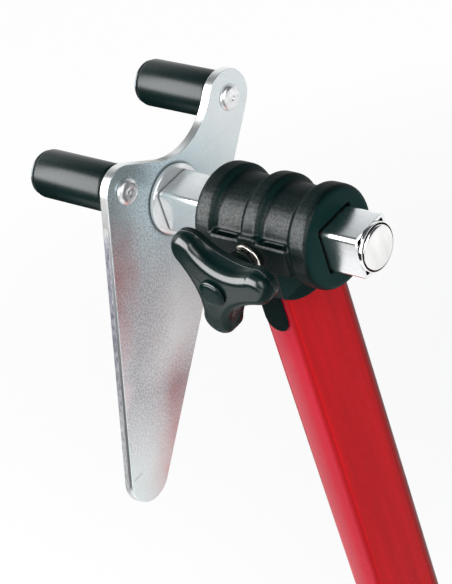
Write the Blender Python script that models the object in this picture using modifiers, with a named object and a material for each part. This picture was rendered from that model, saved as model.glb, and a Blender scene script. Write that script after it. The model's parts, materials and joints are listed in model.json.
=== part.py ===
"""Roller stand: a post on a base carries a ribbed collar, and a square bar with a two-roller head slides in it."""

import math

import bmesh
import bpy
from mathutils import Vector

# Clearances, in metres as every size here
GAP = 0.0003                    # between faces that touch or are pressed together
BAR_CLEARANCE = 0.0007          # between the bar and each wall of the collar's hole

# Base and post
AXIS_HEIGHT = 0.405             # bar axis above the floor
PAD_THICKNESS = 0.003           # rubber sheet under the base
PAD_INSET = 0.003               # how far the sheet stays inside the base's edge
BASE_LENGTH = 0.190
BASE_WIDTH = 0.144
BASE_THICKNESS = 0.008
BASE_OFFSET = 0.035             # base centre lies this far from the post, under the rollers
BASE_CORNER = 0.020
BASE_EDGE = 0.0015
POST_WIDTH = 0.020              # across the flat front
POST_DEPTH = 0.050              # from the flat front to the round back
POST_FRONT = 0.0225             # flat front from the collar screw's axis
POST_WALL = 0.002
POST_CORNER = 0.003             # beside the flat front
WELD_LEG = 0.005
PLUG_HEIGHT = 0.026             # steel plug welded in the post's top

# Square bar
BAR_SIDE = 0.025
BAR_WALL = 0.002
BAR_CORNER = 0.003
BAR_LENGTH = 0.1287
BAR_OVERHANG = 0.0213           # capped end past the collar's face
CAP_DIAMETER = 0.0258
CAP_RIM = 0.0016
CAP_CROWN = 0.0026
CAP_PLUG = 0.010

# Collar
COLLAR_LENGTH = 0.074
COLLAR_WALL = 0.0045            # from the hole's corner to the bottom of a groove
COLLAR_FLOOR = 0.007            # under the bar, over the post
RIB_HEIGHT = 0.0039
RIB_CREST = 0.0066              # flat width on top of a rib
RIB_FLANK = 0.0044              # length of a rib's sloping side
RIB_PITCH = 0.030
RIB_COUNT = 3
HOUSING_LENGTH = 0.050
HOUSING_HEIGHT = 0.0172
HOUSING_WALL = 0.003            # in front of the clamp nut
HOUSING_EDGE = 0.0012
BOSS_WIDTH = 0.0128             # foot of the middle rib in front of the housing's ledges
BOSS_HEIGHT = 0.0112            # its top above the bar axis
BOSS_SETBACK = 0.0002           # behind the housing's front face
BOSS_EDGE = 0.0020
LEDGE_SLOT_LENGTH = 0.013
LEDGE_SLOT_WIDTH = 0.0026
LEDGE_SLOT_DEPTH = 0.004
LEDGE_SLOT_OFFSET = 0.0152      # slot centre from the clamp axis
LEDGE_RIM = 0.0019              # wall between the slot and the housing's front
NECK_WALL = 0.003               # round the post
NECK_SIDE = 0.0258              # depth of the neck's side edges below the bar axis
NECK_HEEL = 0.0245              # depth of the neck's back edge below the bar axis
NECK_SHOULDER = 0.010           # top of the neck's back below the bar axis
TONGUE_WIDTH = 0.0145
TONGUE_THICKNESS = 0.0013
TONGUE_LAP = 0.001              # extra thickness that the post's socket cuts away
TONGUE_DEPTH = 0.0515           # tongue tip below the bar axis
FLOOR_SCREW_DIAMETER = 0.008
FLOOR_SCREW_HEAD = 0.0155
FLOOR_SCREW_HEAD_HEIGHT = 0.0045
FLOOR_SCREW_LENGTH = 0.026
FLOOR_SCREW_KEY = 0.005         # hexagon socket across flats

# Clamp
STUD_DIAMETER = 0.008
STUD_PITCH = 0.00125
CLAMP_TRAVEL = 0.0025           # two turns of the stud
PRESS_PAD_DIAMETER = 0.0124
PRESS_PAD_THICKNESS = 0.0022
PRESS_PAD_CUP = 0.0010          # depth of the cup for the stud's point
POINT_DIAMETER = 0.0055
NUT_ACROSS_FLATS = 0.013
NUT_HEIGHT = 0.0065
SPRING_WIRE = 0.0024
SPRING_DIAMETER = 0.0144        # at the middle of the wire
SPRING_LEAD = 0.0020
SPRING_TURN = 330.0             # degrees from end to end
SPRING_START = 125.0
SPRING_LEAST_GAP = 0.0004
HUB_DIAMETER = 0.0195           # knob hub where it meets the lobes
HUB_TIP_DIAMETER = 0.0150       # and where it presses on the spring washer
HUB_LENGTH = 0.009
KNOB_LOBE_RADIUS = 0.009
KNOB_LOBE_REACH = 0.0247        # lobe centre from the knob's axis
KNOB_WAIST = 0.0145             # least radius between two lobes
KNOB_LOBES = 3
KNOB_TURN = 10.0                # first lobe's angle from the bar
KNOB_THICKNESS = 0.0165         # at the axis
KNOB_CROWN = 0.0030             # drop of the front from axis to lobe tip
KNOB_RISE = 0.0032              # drop of the back from axis to lobe tip
KNOB_FRONT_ROUND = 0.0046
KNOB_BACK_ROUND = 0.0014
KNOB_CAP_DIAMETER = 0.0152
KNOB_CAP_HEIGHT = 0.0024
KNOB_CAP_STEM = 0.006

# Roller head
PLATE_THICKNESS = 0.0055
PLATE_EDGE = 0.0005
ROLLER_HEIGHT = 0.0250          # roller axes above the bar axis
LEFT_ROLLER = -0.0286           # from the bar axis, across the head
RIGHT_ROLLER = 0.0584
LEFT_CORNER_RADIUS = 0.0140
RIGHT_CORNER_RADIUS = 0.0156
CRADLE_RADIUS = 0.0360          # hollow between the rollers
CRADLE_FLOOR = 0.0198           # its lowest point above the bar axis
TAIL_ACROSS = -0.080
TAIL_DOWN = -0.130
TAIL_RADIUS = 0.0143
FLANGE_DIAMETER = 0.0382        # round flange between bar and plate
FLANGE_THICKNESS = 0.0026
FLANGE_EDGE = 0.0006
SPIGOT_LENGTH = 0.015           # square spigot inside the bar
SPIGOT_CHAMFER = 0.0015
TENON_DIAMETER = 0.016          # round tenon through the plate
FLANGE_SCREW_DIAMETER = 0.008
FLANGE_SCREW_HEAD = 0.014
FLANGE_SCREW_HEAD_HEIGHT = 0.0044
FLANGE_SCREW_LENGTH = 0.018
FLANGE_SCREW_KEY = 0.005
FLANGE_WASHER_DIAMETER = 0.022
FLANGE_WASHER_THICKNESS = 0.0016
PIN_DIAMETER = 0.010
PIN_HEAD_DIAMETER = 0.0144
PIN_HEAD_HEIGHT = 0.0028
PIN_DIMPLE_DIAMETER = 0.0036    # punch mark in the head
PIN_DIMPLE_DEPTH = 0.0005
PIN_TAIL_DIAMETER = 0.0132      # upset end that keeps the washer on
PIN_TAIL_HEIGHT = 0.0020
ROLLER_DIAMETER = 0.0260
ROLLER_LENGTH = 0.0490
ROLLER_ROUND = 0.0022
BUSH_WALL = 0.0018
BUSH_LENGTH = 0.014
THRUST_WASHER_DIAMETER = 0.021
THRUST_WASHER_THICKNESS = 0.0008
END_WASHER_DIAMETER = 0.0242
END_WASHER_THICKNESS = 0.0010

# Facets
FINE = 48
PLAIN = 32
SMALL = 24
ARC_STEP = 15.0                 # degrees between points of an outline's arcs
FLANK_STEPS = 4
POST_ARC_STEPS = 12

# Places worked out from the sizes above
HOLE_HALF = BAR_SIDE / 2 + BAR_CLEARANCE
GROOVE_RADIUS = HOLE_HALF * math.sqrt(2) + COLLAR_WALL
RIB_RADIUS = GROOVE_RADIUS + RIB_HEIGHT
POST_TOP = AXIS_HEIGHT - HOLE_HALF - COLLAR_FLOOR - GAP
BASE_BOTTOM = PAD_THICKNESS + GAP
POST_BOTTOM = BASE_BOTTOM + BASE_THICKNESS + GAP
NECK_FRONT = POST_FRONT + GAP + NECK_WALL
NECK_BACK = POST_DEPTH - POST_FRONT + GAP + NECK_WALL
NECK_HALF_WIDTH = POST_WIDTH / 2 + GAP + NECK_WALL
NECK_RADIUS = math.hypot(NECK_FRONT, NECK_SIDE)
BAR_END = COLLAR_LENGTH / 2 + BAR_OVERHANG
BAR_START = BAR_END - BAR_LENGTH
BAR_INSIDE = BAR_SIDE - 2 * BAR_WALL - 2 * GAP
FLANGE_FRONT = BAR_START - GAP
PLATE_FRONT = FLANGE_FRONT - FLANGE_THICKNESS - GAP
PLATE_BACK = PLATE_FRONT - PLATE_THICKNESS
THRUST_FRONT = PLATE_BACK - GAP
ROLLER_FRONT = THRUST_FRONT - THRUST_WASHER_THICKNESS - GAP
ROLLER_BACK = ROLLER_FRONT - ROLLER_LENGTH
END_WASHER_FRONT = ROLLER_BACK - GAP
TAIL_FRONT = END_WASHER_FRONT - END_WASHER_THICKNESS - GAP
PRESS_PAD_FACE = BAR_SIDE / 2 + GAP
PRESS_PAD_BACK = PRESS_PAD_FACE + PRESS_PAD_THICKNESS
NUT_FACE = PRESS_PAD_BACK + CLAMP_TRAVEL + GAP
NUT_BACK = NUT_FACE + NUT_HEIGHT
HOUSING_FRONT = NUT_BACK + GAP + HOUSING_WALL
SPRING_HEIGHT = SPRING_WIRE + SPRING_LEAD * SPRING_TURN / 360
HUB_FACE = HOUSING_FRONT + GAP + SPRING_HEIGHT + GAP
KNOB_BACK = HUB_FACE + HUB_LENGTH
KNOB_FRONT = KNOB_BACK + KNOB_THICKNESS
STUD_END = KNOB_FRONT - KNOB_CAP_STEM - GAP
KNOB_TIP = KNOB_LOBE_REACH + KNOB_LOBE_RADIUS

# Ways a shape's own Z axis can point
ALONG_X = (0.0, math.pi / 2, 0.0)               # turned pieces
ACROSS_X = (math.pi / 2, 0.0, math.pi / 2)      # outlines drawn as seen from the capped end
ALONG_CLAMP = (math.pi / 2, 0.0, 0.0)           # towards the knob
UPRIGHT = (0.0, 0.0, 0.0)


# Scene and object helpers

def clear_scene():
    for thing in list(bpy.data.objects):
        bpy.data.objects.remove(thing, do_unlink=True)
    for group in list(bpy.data.collections):
        bpy.data.collections.remove(group)


def new_collection(name):
    group = bpy.data.collections.new(name)
    bpy.context.scene.collection.children.link(group)
    return group


def new_material(name, colour, roughness, metallic):
    finish = bpy.data.materials.new(name)
    finish.use_nodes = True
    shader = finish.node_tree.nodes["Principled BSDF"]
    shader.inputs["Base Color"].default_value = (*colour, 1.0)
    shader.inputs["Roughness"].default_value = roughness
    shader.inputs["Metallic"].default_value = metallic
    finish.diffuse_color = (*colour, 1.0)
    return finish


def new_empty(name, place, group):
    empty = bpy.data.objects.new(name, None)
    empty.empty_display_size = 0.02
    empty.location = place
    group.objects.link(empty)
    return empty


def object_from(name, bm):
    """Object from a bmesh, with its normals made to point out and its sharp edges kept."""
    bmesh.ops.recalc_face_normals(bm, faces=bm.faces)
    mesh = bpy.data.meshes.new(name)
    bm.to_mesh(mesh)
    bm.free()
    mesh.shade_smooth()
    mesh.set_sharp_from_angle(angle=math.radians(35))
    thing = bpy.data.objects.new(name, mesh)
    bpy.context.scene.collection.objects.link(thing)
    return thing


def place(thing, where, turn=UPRIGHT):
    thing.rotation_euler = turn
    thing.location = where
    return thing


def adopt(thing, group, parent, finish):
    """Puts a finished piece in the stand's collection, on its parent, with its own material."""
    for holder in list(thing.users_collection):
        holder.objects.unlink(thing)
    group.objects.link(thing)
    thing.location = Vector(thing.location) - parent.location
    thing.parent = parent
    thing.data.materials.clear()
    thing.data.materials.append(new_material(thing.name + "_finish", *finish))
    return thing


def boolean(thing, tool, operation, cutters):
    """Joins a helper solid to a piece, or cuts it away, and keeps the helper out of the model."""
    for holder in list(tool.users_collection):
        holder.objects.unlink(tool)
    cutters.objects.link(tool)
    tool.hide_render = True
    tool.display_type = "WIRE"
    step = thing.modifiers.new(tool.name, "BOOLEAN")
    step.operation = operation
    step.solver = "EXACT"
    step.object = tool
    return thing


def add_bevel(thing, width, segments=1):
    step = thing.modifiers.new("edge", "BEVEL")
    step.width = width
    step.segments = segments
    step.limit_method = "ANGLE"
    step.angle_limit = math.radians(50)
    return thing


# Shape helpers

def polar(radius, degrees):
    angle = math.radians(degrees)
    return Vector((radius * math.cos(angle), radius * math.sin(angle)))


def belt(circles, arc_points=None):
    """Closed outline that runs round circles in order, anticlockwise.

    Each circle is (centre, radius); a negative radius is a hollow that the outline passes on the far side.
    """
    count = len(circles)
    headings = []
    for index, (centre, radius) in enumerate(circles):
        next_centre, next_radius = circles[(index + 1) % count]
        span = next_centre - centre
        lean = math.asin(max(-1.0, min(1.0, (next_radius - radius) / span.length)))
        headings.append(math.atan2(span.y, span.x) - lean)
    points = []
    for index, (centre, radius) in enumerate(circles):
        start = headings[index - 1]
        turn = (headings[index] - start) % (2 * math.pi)
        if radius < 0:
            turn = turn - 2 * math.pi
        steps = arc_points or max(2, math.ceil(abs(math.degrees(turn)) / ARC_STEP))
        for step in range(steps + 1):
            heading = start + turn * step / steps
            points.append(centre + radius * Vector((math.sin(heading), -math.cos(heading))))
    return points


def rounded_rectangle(width, depth, corner):
    across = width / 2 - corner
    along = depth / 2 - corner
    corners = ((across, -along), (across, along), (-across, along), (-across, -along))
    return belt([(Vector(centre), corner) for centre in corners])


def hexagon(across_flats):
    return [polar(across_flats / math.sqrt(3), 60 * side) for side in range(6)]


def ring_of(radius, count, start=0.0):
    return [polar(radius, start + 360 * step / count) for step in range(count)]


def extruded(name, outlines, thickness):
    """Flat outline, or an outline with inner ones as holes, with its middle at Z zero."""
    curve = bpy.data.curves.new(name, "CURVE")
    curve.dimensions = "2D"
    curve.fill_mode = "BOTH"
    curve.extrude = thickness / 2
    for outline in outlines:
        spline = curve.splines.new("POLY")
        spline.points.add(len(outline) - 1)
        for point, spot in zip(spline.points, outline):
            point.co = (spot[0], spot[1], 0.0, 1.0)
        spline.use_cyclic_u = True
    return solid_from_curve(name, curve)


def solid_from_curve(name, curve):
    holder = bpy.data.objects.new(name + "_curve", curve)
    bpy.context.scene.collection.objects.link(holder)
    bpy.context.view_layer.update()
    ready = holder.evaluated_get(bpy.context.evaluated_depsgraph_get())
    mesh = bpy.data.meshes.new_from_object(ready)
    bm = bmesh.new()
    bm.from_mesh(mesh)
    bmesh.ops.remove_doubles(bm, verts=bm.verts, dist=0.000001)
    bpy.data.objects.remove(holder, do_unlink=True)
    bpy.data.meshes.remove(mesh)
    bpy.data.curves.remove(curve)
    return object_from(name, bm)


def box(name, size):
    bm = bmesh.new()
    bmesh.ops.create_cube(bm, size=1.0)
    bmesh.ops.scale(bm, vec=Vector(size), verts=bm.verts)
    return object_from(name, bm)


def turned(name, profile, sides, closed=False):
    """Solid turned about its own Z axis from (radius, height) points that run down its outer side."""
    mesh = bpy.data.meshes.new(name)
    verts = [(radius, 0.0, height) for radius, height in profile]
    edges = [(step, step + 1) for step in range(len(verts) - 1)]
    if closed:
        edges.append((len(verts) - 1, 0))
    mesh.from_pydata(verts, edges, [])
    thing = bpy.data.objects.new(name, mesh)
    bpy.context.scene.collection.objects.link(thing)
    step = thing.modifiers.new("turn", "SCREW")
    step.axis = "Z"
    step.angle = 2 * math.pi
    step.steps = sides
    step.render_steps = sides
    step.use_merge_vertices = True
    step.merge_threshold = 0.000001
    step.use_smooth_shade = True
    return thing


def washer(name, outer, inner, thickness, sides=PLAIN):
    profile = [(inner, thickness), (outer, thickness), (outer, 0.0), (inner, 0.0)]
    return turned(name, profile, sides, closed=True)


def loft(name, rings):
    """Ring-shaped solid through rings of as many points each, the last one joined to the first."""
    bm = bmesh.new()
    rows = [[bm.verts.new(spot) for spot in ring] for ring in rings]
    count = len(rows[0])
    for row, next_row in zip(rows, rows[1:] + rows[:1]):
        for step in range(count):
            after = (step + 1) % count
            bm.faces.new((row[step], row[after], next_row[after], next_row[step]))
    return object_from(name, bm)


def quarter_round(start, end, bulge_first, steps):
    """Points of a quarter ellipse from start to end; bulge_first leaves along the first coordinate."""
    points = []
    for step in range(1, steps):
        angle = math.pi / 2 * step / steps
        fast, slow = math.sin(angle), 1 - math.cos(angle)
        first, second = (fast, slow) if bulge_first else (slow, fast)
        points.append((start[0] + (end[0] - start[0]) * first, start[1] + (end[1] - start[1]) * second))
    return points


# Base and post

def make_base(group, stand):
    outline = rounded_rectangle(BASE_LENGTH, BASE_WIDTH, BASE_CORNER)
    plate = extruded("base_plate", [outline], BASE_THICKNESS)
    place(plate, (-BASE_OFFSET, 0.0, BASE_BOTTOM + BASE_THICKNESS / 2))
    add_bevel(plate, BASE_EDGE, 2)
    adopt(plate, group, stand, ((0.44, 0.018, 0.022), 0.35, 0.0))

    inset = 2 * PAD_INSET
    outline = rounded_rectangle(BASE_LENGTH - inset, BASE_WIDTH - inset, BASE_CORNER - PAD_INSET)
    pad = extruded("base_pad", [outline], PAD_THICKNESS)
    place(pad, (-BASE_OFFSET, 0.0, PAD_THICKNESS / 2))
    adopt(pad, group, stand, ((0.02, 0.02, 0.02), 0.9, 0.0))


def post_outline(offset):
    """Post's section, grown by an offset on every side: a flat front and a round back."""
    half, corner = POST_WIDTH / 2 + offset, POST_CORNER + offset
    front = corner - POST_FRONT - offset
    back = POST_DEPTH - POST_FRONT - POST_WIDTH / 2
    circles = [(Vector((half - corner, front)), corner), (Vector((0.0, back)), half),
               (Vector((corner - half, front)), corner)]
    return belt(circles, POST_ARC_STEPS)


def make_post(group, stand):
    length = POST_TOP - POST_BOTTOM
    post = extruded("post", [post_outline(0.0), post_outline(-POST_WALL)], length)
    place(post, (0.0, 0.0, POST_BOTTOM + length / 2))
    adopt(post, group, stand, ((0.44, 0.018, 0.022), 0.35, 0.0))

    bead = ((GAP, 0.0), (WELD_LEG, 0.0), (0.8 * WELD_LEG, 0.35 * WELD_LEG), (0.35 * WELD_LEG, 0.8 * WELD_LEG),
            (GAP, WELD_LEG))
    rings = [[(spot.x, spot.y, height) for spot in post_outline(offset)] for offset, height in bead]
    weld = loft("foot_weld", rings)
    place(weld, (0.0, 0.0, POST_BOTTOM))
    adopt(weld, group, stand, ((0.44, 0.018, 0.022), 0.4, 0.0))


def make_post_plug(group, stand, cutters):
    plug = extruded("post_plug", [post_outline(-POST_WALL - GAP)], PLUG_HEIGHT)
    place(plug, (0.0, 0.0, POST_TOP - PLUG_HEIGHT / 2))
    depth = FLOOR_SCREW_LENGTH + PLUG_HEIGHT
    bore = extruded("plug_bore", [ring_of(FLOOR_SCREW_DIAMETER / 2 + GAP, SMALL)], depth)
    place(bore, (0.0, 0.0, POST_TOP))
    boolean(plug, bore, "DIFFERENCE", cutters)
    adopt(plug, group, stand, ((0.35, 0.35, 0.36), 0.45, 1.0))


def floor_screw_profile(grow):
    """Countersunk screw, head at Z zero; grow makes it the hole that the screw passes."""
    head = FLOOR_SCREW_HEAD / 2 + grow
    shank = FLOOR_SCREW_DIAMETER / 2 + grow
    cone = -FLOOR_SCREW_HEAD_HEIGHT - grow
    tip = -FLOOR_SCREW_LENGTH - grow
    return [(0.0, grow), (head, grow), (head, -0.0004), (shank, cone), (shank, tip + 0.001), (shank - 0.001, tip),
            (0.0, tip)]


def make_collar_screw(group, stand, cutters):
    head_top = AXIS_HEIGHT - HOLE_HALF - 2 * GAP
    screw = turned("collar_screw", floor_screw_profile(0.0), SMALL)
    place(screw, (0.0, 0.0, head_top))
    key = extruded("collar_screw_key", [hexagon(FLOOR_SCREW_KEY)], FLOOR_SCREW_HEAD_HEIGHT)
    place(key, (0.0, 0.0, head_top))
    boolean(screw, key, "DIFFERENCE", cutters)
    adopt(screw, group, stand, ((0.5, 0.5, 0.5), 0.35, 1.0))


# Collar

def collar_profile():
    """Ribbed outline from the capped end's face to the other face."""
    half = COLLAR_LENGTH / 2
    middle = (RIB_COUNT - 1) / 2
    points = [(0.0, half), (GROOVE_RADIUS, half)]
    for rib in range(RIB_COUNT):
        centre = (middle - rib) * RIB_PITCH
        first, last = centre + RIB_CREST / 2, centre - RIB_CREST / 2
        if rib == 0:
            points += quarter_round((GROOVE_RADIUS, half), (RIB_RADIUS, first), True, FLANK_STEPS)
        else:
            points += flank(first + RIB_FLANK, first, True)
        points += [(RIB_RADIUS, first), (RIB_RADIUS, last)]
        if rib == RIB_COUNT - 1:
            points += quarter_round((RIB_RADIUS, last), (GROOVE_RADIUS, -half), False, FLANK_STEPS)
        else:
            points += flank(last, last - RIB_FLANK, False)
    return points + [(GROOVE_RADIUS, -half), (0.0, -half)]


def flank(start, end, rising):
    """Side of a rib as a smooth S from groove to crest or back, without its crest point."""
    points = []
    for step in range(FLANK_STEPS + 1):
        share = step / FLANK_STEPS
        lift = 0.5 - 0.5 * math.cos(math.pi * share)
        if not rising:
            lift = 1 - lift
        if 0 < lift < 1 or lift == 0:
            points.append((GROOVE_RADIUS + RIB_HEIGHT * lift, start + (end - start) * share))
    return points


def make_neck(name):
    """Lower part of the collar that holds the post: a round bottom about the bar axis and a sloping shoulder behind."""
    start = math.degrees(math.atan2(-NECK_SIDE, -NECK_FRONT))
    end = math.degrees(math.atan2(-NECK_SIDE, NECK_FRONT))
    steps = FINE // 4
    outline = [polar(NECK_RADIUS, start + (end - start) * step / steps) for step in range(steps + 1)]
    outline += [Vector((NECK_BACK, -NECK_HEEL)), Vector((NECK_BACK, -NECK_SHOULDER))]
    outline += [Vector((0.0, 0.0)), Vector((-NECK_FRONT, 0.0))]
    return extruded(name, [outline], 2 * NECK_HALF_WIDTH)


def make_tongue(name):
    """Round-ended strip down the post's narrow face; its outline is drawn in the clamp's view."""
    half = TONGUE_WIDTH / 2
    bottom = half - TONGUE_DEPTH
    top = -NECK_SIDE + NECK_WALL
    circle = [polar(half, 180 + 180 * step / 12) + Vector((0.0, bottom)) for step in range(13)]
    return extruded(name, [circle + [Vector((half, top)), Vector((-half, top))]], TONGUE_THICKNESS + TONGUE_LAP)


def make_collar(group, stand, cutters):
    axis = (0.0, 0.0, AXIS_HEIGHT)
    collar = turned("collar", collar_profile(), FINE)
    place(collar, axis, ALONG_X)

    housing = box("collar_housing", (HOUSING_LENGTH, HOUSING_FRONT, HOUSING_HEIGHT))
    add_bevel(housing, HOUSING_EDGE)
    place(housing, (0.0, -HOUSING_FRONT / 2, AXIS_HEIGHT))
    boolean(collar, housing, "UNION", cutters)

    boss_front = HOUSING_FRONT - BOSS_SETBACK
    boss = box("collar_boss", (BOSS_WIDTH, HOUSING_FRONT / 2, 2 * BOSS_HEIGHT))
    add_bevel(boss, BOSS_EDGE, 2)
    place(boss, (0.0, HOUSING_FRONT / 4 - boss_front, AXIS_HEIGHT))
    boolean(collar, boss, "UNION", cutters)

    neck = make_neck("collar_neck")
    place(neck, axis, ACROSS_X)
    boolean(collar, neck, "UNION", cutters)

    tongue = make_tongue("collar_tongue")
    place(tongue, (0.0, (TONGUE_LAP - TONGUE_THICKNESS) / 2 - POST_FRONT - GAP, AXIS_HEIGHT), ALONG_CLAMP)
    boolean(collar, tongue, "UNION", cutters)

    hole = box("collar_hole", (2 * COLLAR_LENGTH, 2 * HOLE_HALF, 2 * HOLE_HALF))
    place(hole, axis)
    boolean(collar, hole, "DIFFERENCE", cutters)

    socket = extruded("collar_socket", [post_outline(GAP)], AXIS_HEIGHT)
    place(socket, (0.0, 0.0, POST_TOP + GAP - AXIS_HEIGHT / 2))
    boolean(collar, socket, "DIFFERENCE", cutters)

    pocket_depth = NUT_BACK + GAP
    pocket = extruded("collar_nut_pocket", [hexagon(NUT_ACROSS_FLATS + 2 * GAP)], pocket_depth)
    place(pocket, (0.0, -pocket_depth / 2, AXIS_HEIGHT), ALONG_CLAMP)
    boolean(collar, pocket, "DIFFERENCE", cutters)

    bore = extruded("collar_stud_bore", [ring_of(STUD_DIAMETER / 2 + GAP, SMALL)], 2 * HOUSING_FRONT)
    place(bore, (0.0, -HOUSING_FRONT, AXIS_HEIGHT), ALONG_CLAMP)
    boolean(collar, bore, "DIFFERENCE", cutters)

    slot_middle = -HOUSING_FRONT + LEDGE_RIM + LEDGE_SLOT_WIDTH / 2
    for side in (-1, 1):
        slot = box("collar_slot", (LEDGE_SLOT_LENGTH, LEDGE_SLOT_WIDTH, 2 * LEDGE_SLOT_DEPTH))
        place(slot, (side * LEDGE_SLOT_OFFSET, slot_middle, AXIS_HEIGHT + HOUSING_HEIGHT / 2))
        boolean(collar, slot, "DIFFERENCE", cutters)

    screw_hole = turned("collar_screw_hole", floor_screw_profile(GAP), SMALL)
    place(screw_hole, (0.0, 0.0, AXIS_HEIGHT - HOLE_HALF - 2 * GAP))
    boolean(collar, screw_hole, "DIFFERENCE", cutters)
    adopt(collar, group, stand, ((0.022, 0.024, 0.024), 0.55, 0.0))


# Clamp

def make_clamp_nut(group, stand):
    bore = ring_of(STUD_DIAMETER / 2 + GAP, SMALL)
    nut = extruded("clamp_nut", [hexagon(NUT_ACROSS_FLATS), bore], NUT_HEIGHT)
    place(nut, (0.0, -(NUT_FACE + NUT_BACK) / 2, AXIS_HEIGHT), ALONG_CLAMP)
    adopt(nut, group, stand, ((0.6, 0.58, 0.5), 0.35, 1.0))


def make_press_pad(group, clamp):
    outer, cup = PRESS_PAD_DIAMETER / 2, POINT_DIAMETER / 2 + GAP
    cup_floor = PRESS_PAD_THICKNESS - PRESS_PAD_CUP
    profile = [(0.0, cup_floor), (cup, cup_floor), (cup, PRESS_PAD_THICKNESS), (outer, PRESS_PAD_THICKNESS),
               (outer, 0.0), (0.0, 0.0)]
    pad = turned("pressure_pad", profile, PLAIN)
    place(pad, (0.0, -PRESS_PAD_FACE, AXIS_HEIGHT), ALONG_CLAMP)
    adopt(pad, group, clamp, ((0.55, 0.42, 0.16), 0.4, 1.0))


def make_stud(group, knob):
    point, thread = POINT_DIAMETER / 2, STUD_DIAMETER / 2
    point_face = PRESS_PAD_BACK - PRESS_PAD_CUP + GAP
    shoulder = PRESS_PAD_BACK + GAP
    profile = [(0.0, STUD_END), (thread, STUD_END), (thread, shoulder), (point, shoulder), (point, point_face),
               (0.0, point_face)]
    stud = turned("clamp_stud", profile, SMALL)
    place(stud, (0.0, 0.0, AXIS_HEIGHT), ALONG_CLAMP)
    adopt(stud, group, knob, ((0.5, 0.5, 0.5), 0.3, 1.0))


def spring_points():
    """Middle of the spring washer's wire, one open turn that climbs towards the knob."""
    count = 33
    points = []
    for step in range(count):
        share = step / (count - 1)
        spot = polar(SPRING_DIAMETER / 2, SPRING_START - SPRING_TURN * share)
        points.append(Vector((spot.x, spot.y, SPRING_WIRE / 2 + SPRING_LEAD * SPRING_TURN / 360 * share)))
    return points


def make_spring_washer(group, knob):
    points = spring_points()
    curve = bpy.data.curves.new("spring_washer", "CURVE")
    curve.dimensions = "3D"
    curve.bevel_depth = SPRING_WIRE / 2
    curve.bevel_resolution = 2
    curve.use_fill_caps = True
    spline = curve.splines.new("POLY")
    spline.points.add(len(points) - 1)
    for point, spot in zip(spline.points, points):
        point.co = (*spot, 1.0)
    gap = (points[0] - points[-1]).length - SPRING_WIRE
    print("spring washer: least gap to itself %.2f mm" % (gap * 1000))
    if gap < SPRING_LEAST_GAP:
        raise ValueError("the spring washer's ends meet")
    ring = solid_from_curve("spring_washer", curve)
    place(ring, (0.0, -HOUSING_FRONT - GAP, AXIS_HEIGHT), ALONG_CLAMP)
    adopt(ring, group, knob, ((0.75, 0.70, 0.62), 0.25, 1.0))


def star_outline(inset):
    """Knob's outline, drawn in by an inset; the hollows between the lobes touch both neighbours."""
    half_step = math.pi / KNOB_LOBES
    reach, lobe, waist = KNOB_LOBE_REACH, KNOB_LOBE_RADIUS, KNOB_WAIST
    hollow_reach = (reach ** 2 - (waist - lobe) ** 2) / (2 * (reach * math.cos(half_step) - waist + lobe))
    hollow = hollow_reach - waist
    circles = []
    for index in range(KNOB_LOBES):
        angle = KNOB_TURN + 360 / KNOB_LOBES * index
        circles.append((polar(reach, angle), lobe - inset))
        circles.append((polar(hollow_reach, angle + 180 / KNOB_LOBES), -hollow - inset))
    return belt(circles, arc_points=8)


def knob_ring(outline, shrink, depth_at):
    return [(spot.x * shrink, spot.y * shrink, depth_at(spot.length * shrink)) for spot in outline]


def make_knob(group, knob):
    def front(radius):
        return KNOB_FRONT - KNOB_CROWN * (radius / KNOB_TIP) ** 2

    def back(radius):
        return KNOB_BACK + KNOB_RISE * (radius / KNOB_TIP) ** 2

    bearings = [math.degrees(math.atan2(spot.y, spot.x)) for spot in star_outline(0.0)]

    def circle(radius, depth):
        return [(*polar(radius, bearing), depth) for bearing in bearings]

    bore, tip, hub = STUD_DIAMETER / 2 + GAP, HUB_TIP_DIAMETER / 2, HUB_DIAMETER / 2
    rings = [circle(bore, HUB_FACE), circle(tip - 0.0006, HUB_FACE), circle(tip, HUB_FACE + 0.0006)]
    rings.append(circle(hub, KNOB_BACK - 0.0008))
    rings.append(circle(hub + 0.0008, KNOB_BACK))
    rings.append(knob_ring(star_outline(2 * KNOB_BACK_ROUND), 1.0, back))
    for step in range(3):
        angle = math.pi / 2 * step / 2
        drop = KNOB_BACK_ROUND * (1 - math.sin(angle))
        rise = KNOB_BACK_ROUND * (1 - math.cos(angle))
        rings.append(knob_ring(star_outline(drop), 1.0, lambda radius, rise=rise: back(radius) + rise))
    for step in range(4):
        angle = math.pi / 2 * step / 3
        drop = KNOB_FRONT_ROUND * (1 - math.cos(angle))
        fall = KNOB_FRONT_ROUND * (1 - math.sin(angle))
        rings.append(knob_ring(star_outline(drop), 1.0, lambda radius, fall=fall: front(radius) - fall))
    inner = star_outline(KNOB_FRONT_ROUND)
    for shrink in (0.8, 0.6):
        rings.append(knob_ring(inner, shrink, front))
    rings.append(circle(bore, KNOB_FRONT))
    star = loft("clamp_knob", rings)
    place(star, (0.0, 0.0, AXIS_HEIGHT), ALONG_CLAMP)
    adopt(star, group, knob, ((0.02, 0.021, 0.022), 0.18, 0.0))


def make_knob_cap(group, knob):
    outer, stem = KNOB_CAP_DIAMETER / 2, STUD_DIAMETER / 2
    foot, top = KNOB_FRONT + GAP, KNOB_FRONT + GAP + KNOB_CAP_HEIGHT
    edge = 0.0012
    profile = [(0.0, top), (outer - edge, top)]
    profile += quarter_round((outer - edge, top), (outer, top - edge), True, 3)
    profile += [(outer, top - edge), (outer, foot), (stem, foot), (stem, KNOB_FRONT - KNOB_CAP_STEM)]
    profile += [(0.0, KNOB_FRONT - KNOB_CAP_STEM)]
    cap = turned("knob_cap", profile, PLAIN)
    place(cap, (0.0, 0.0, AXIS_HEIGHT), ALONG_CLAMP)
    adopt(cap, group, knob, ((0.02, 0.021, 0.022), 0.18, 0.0))


# Sliding arm

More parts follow.
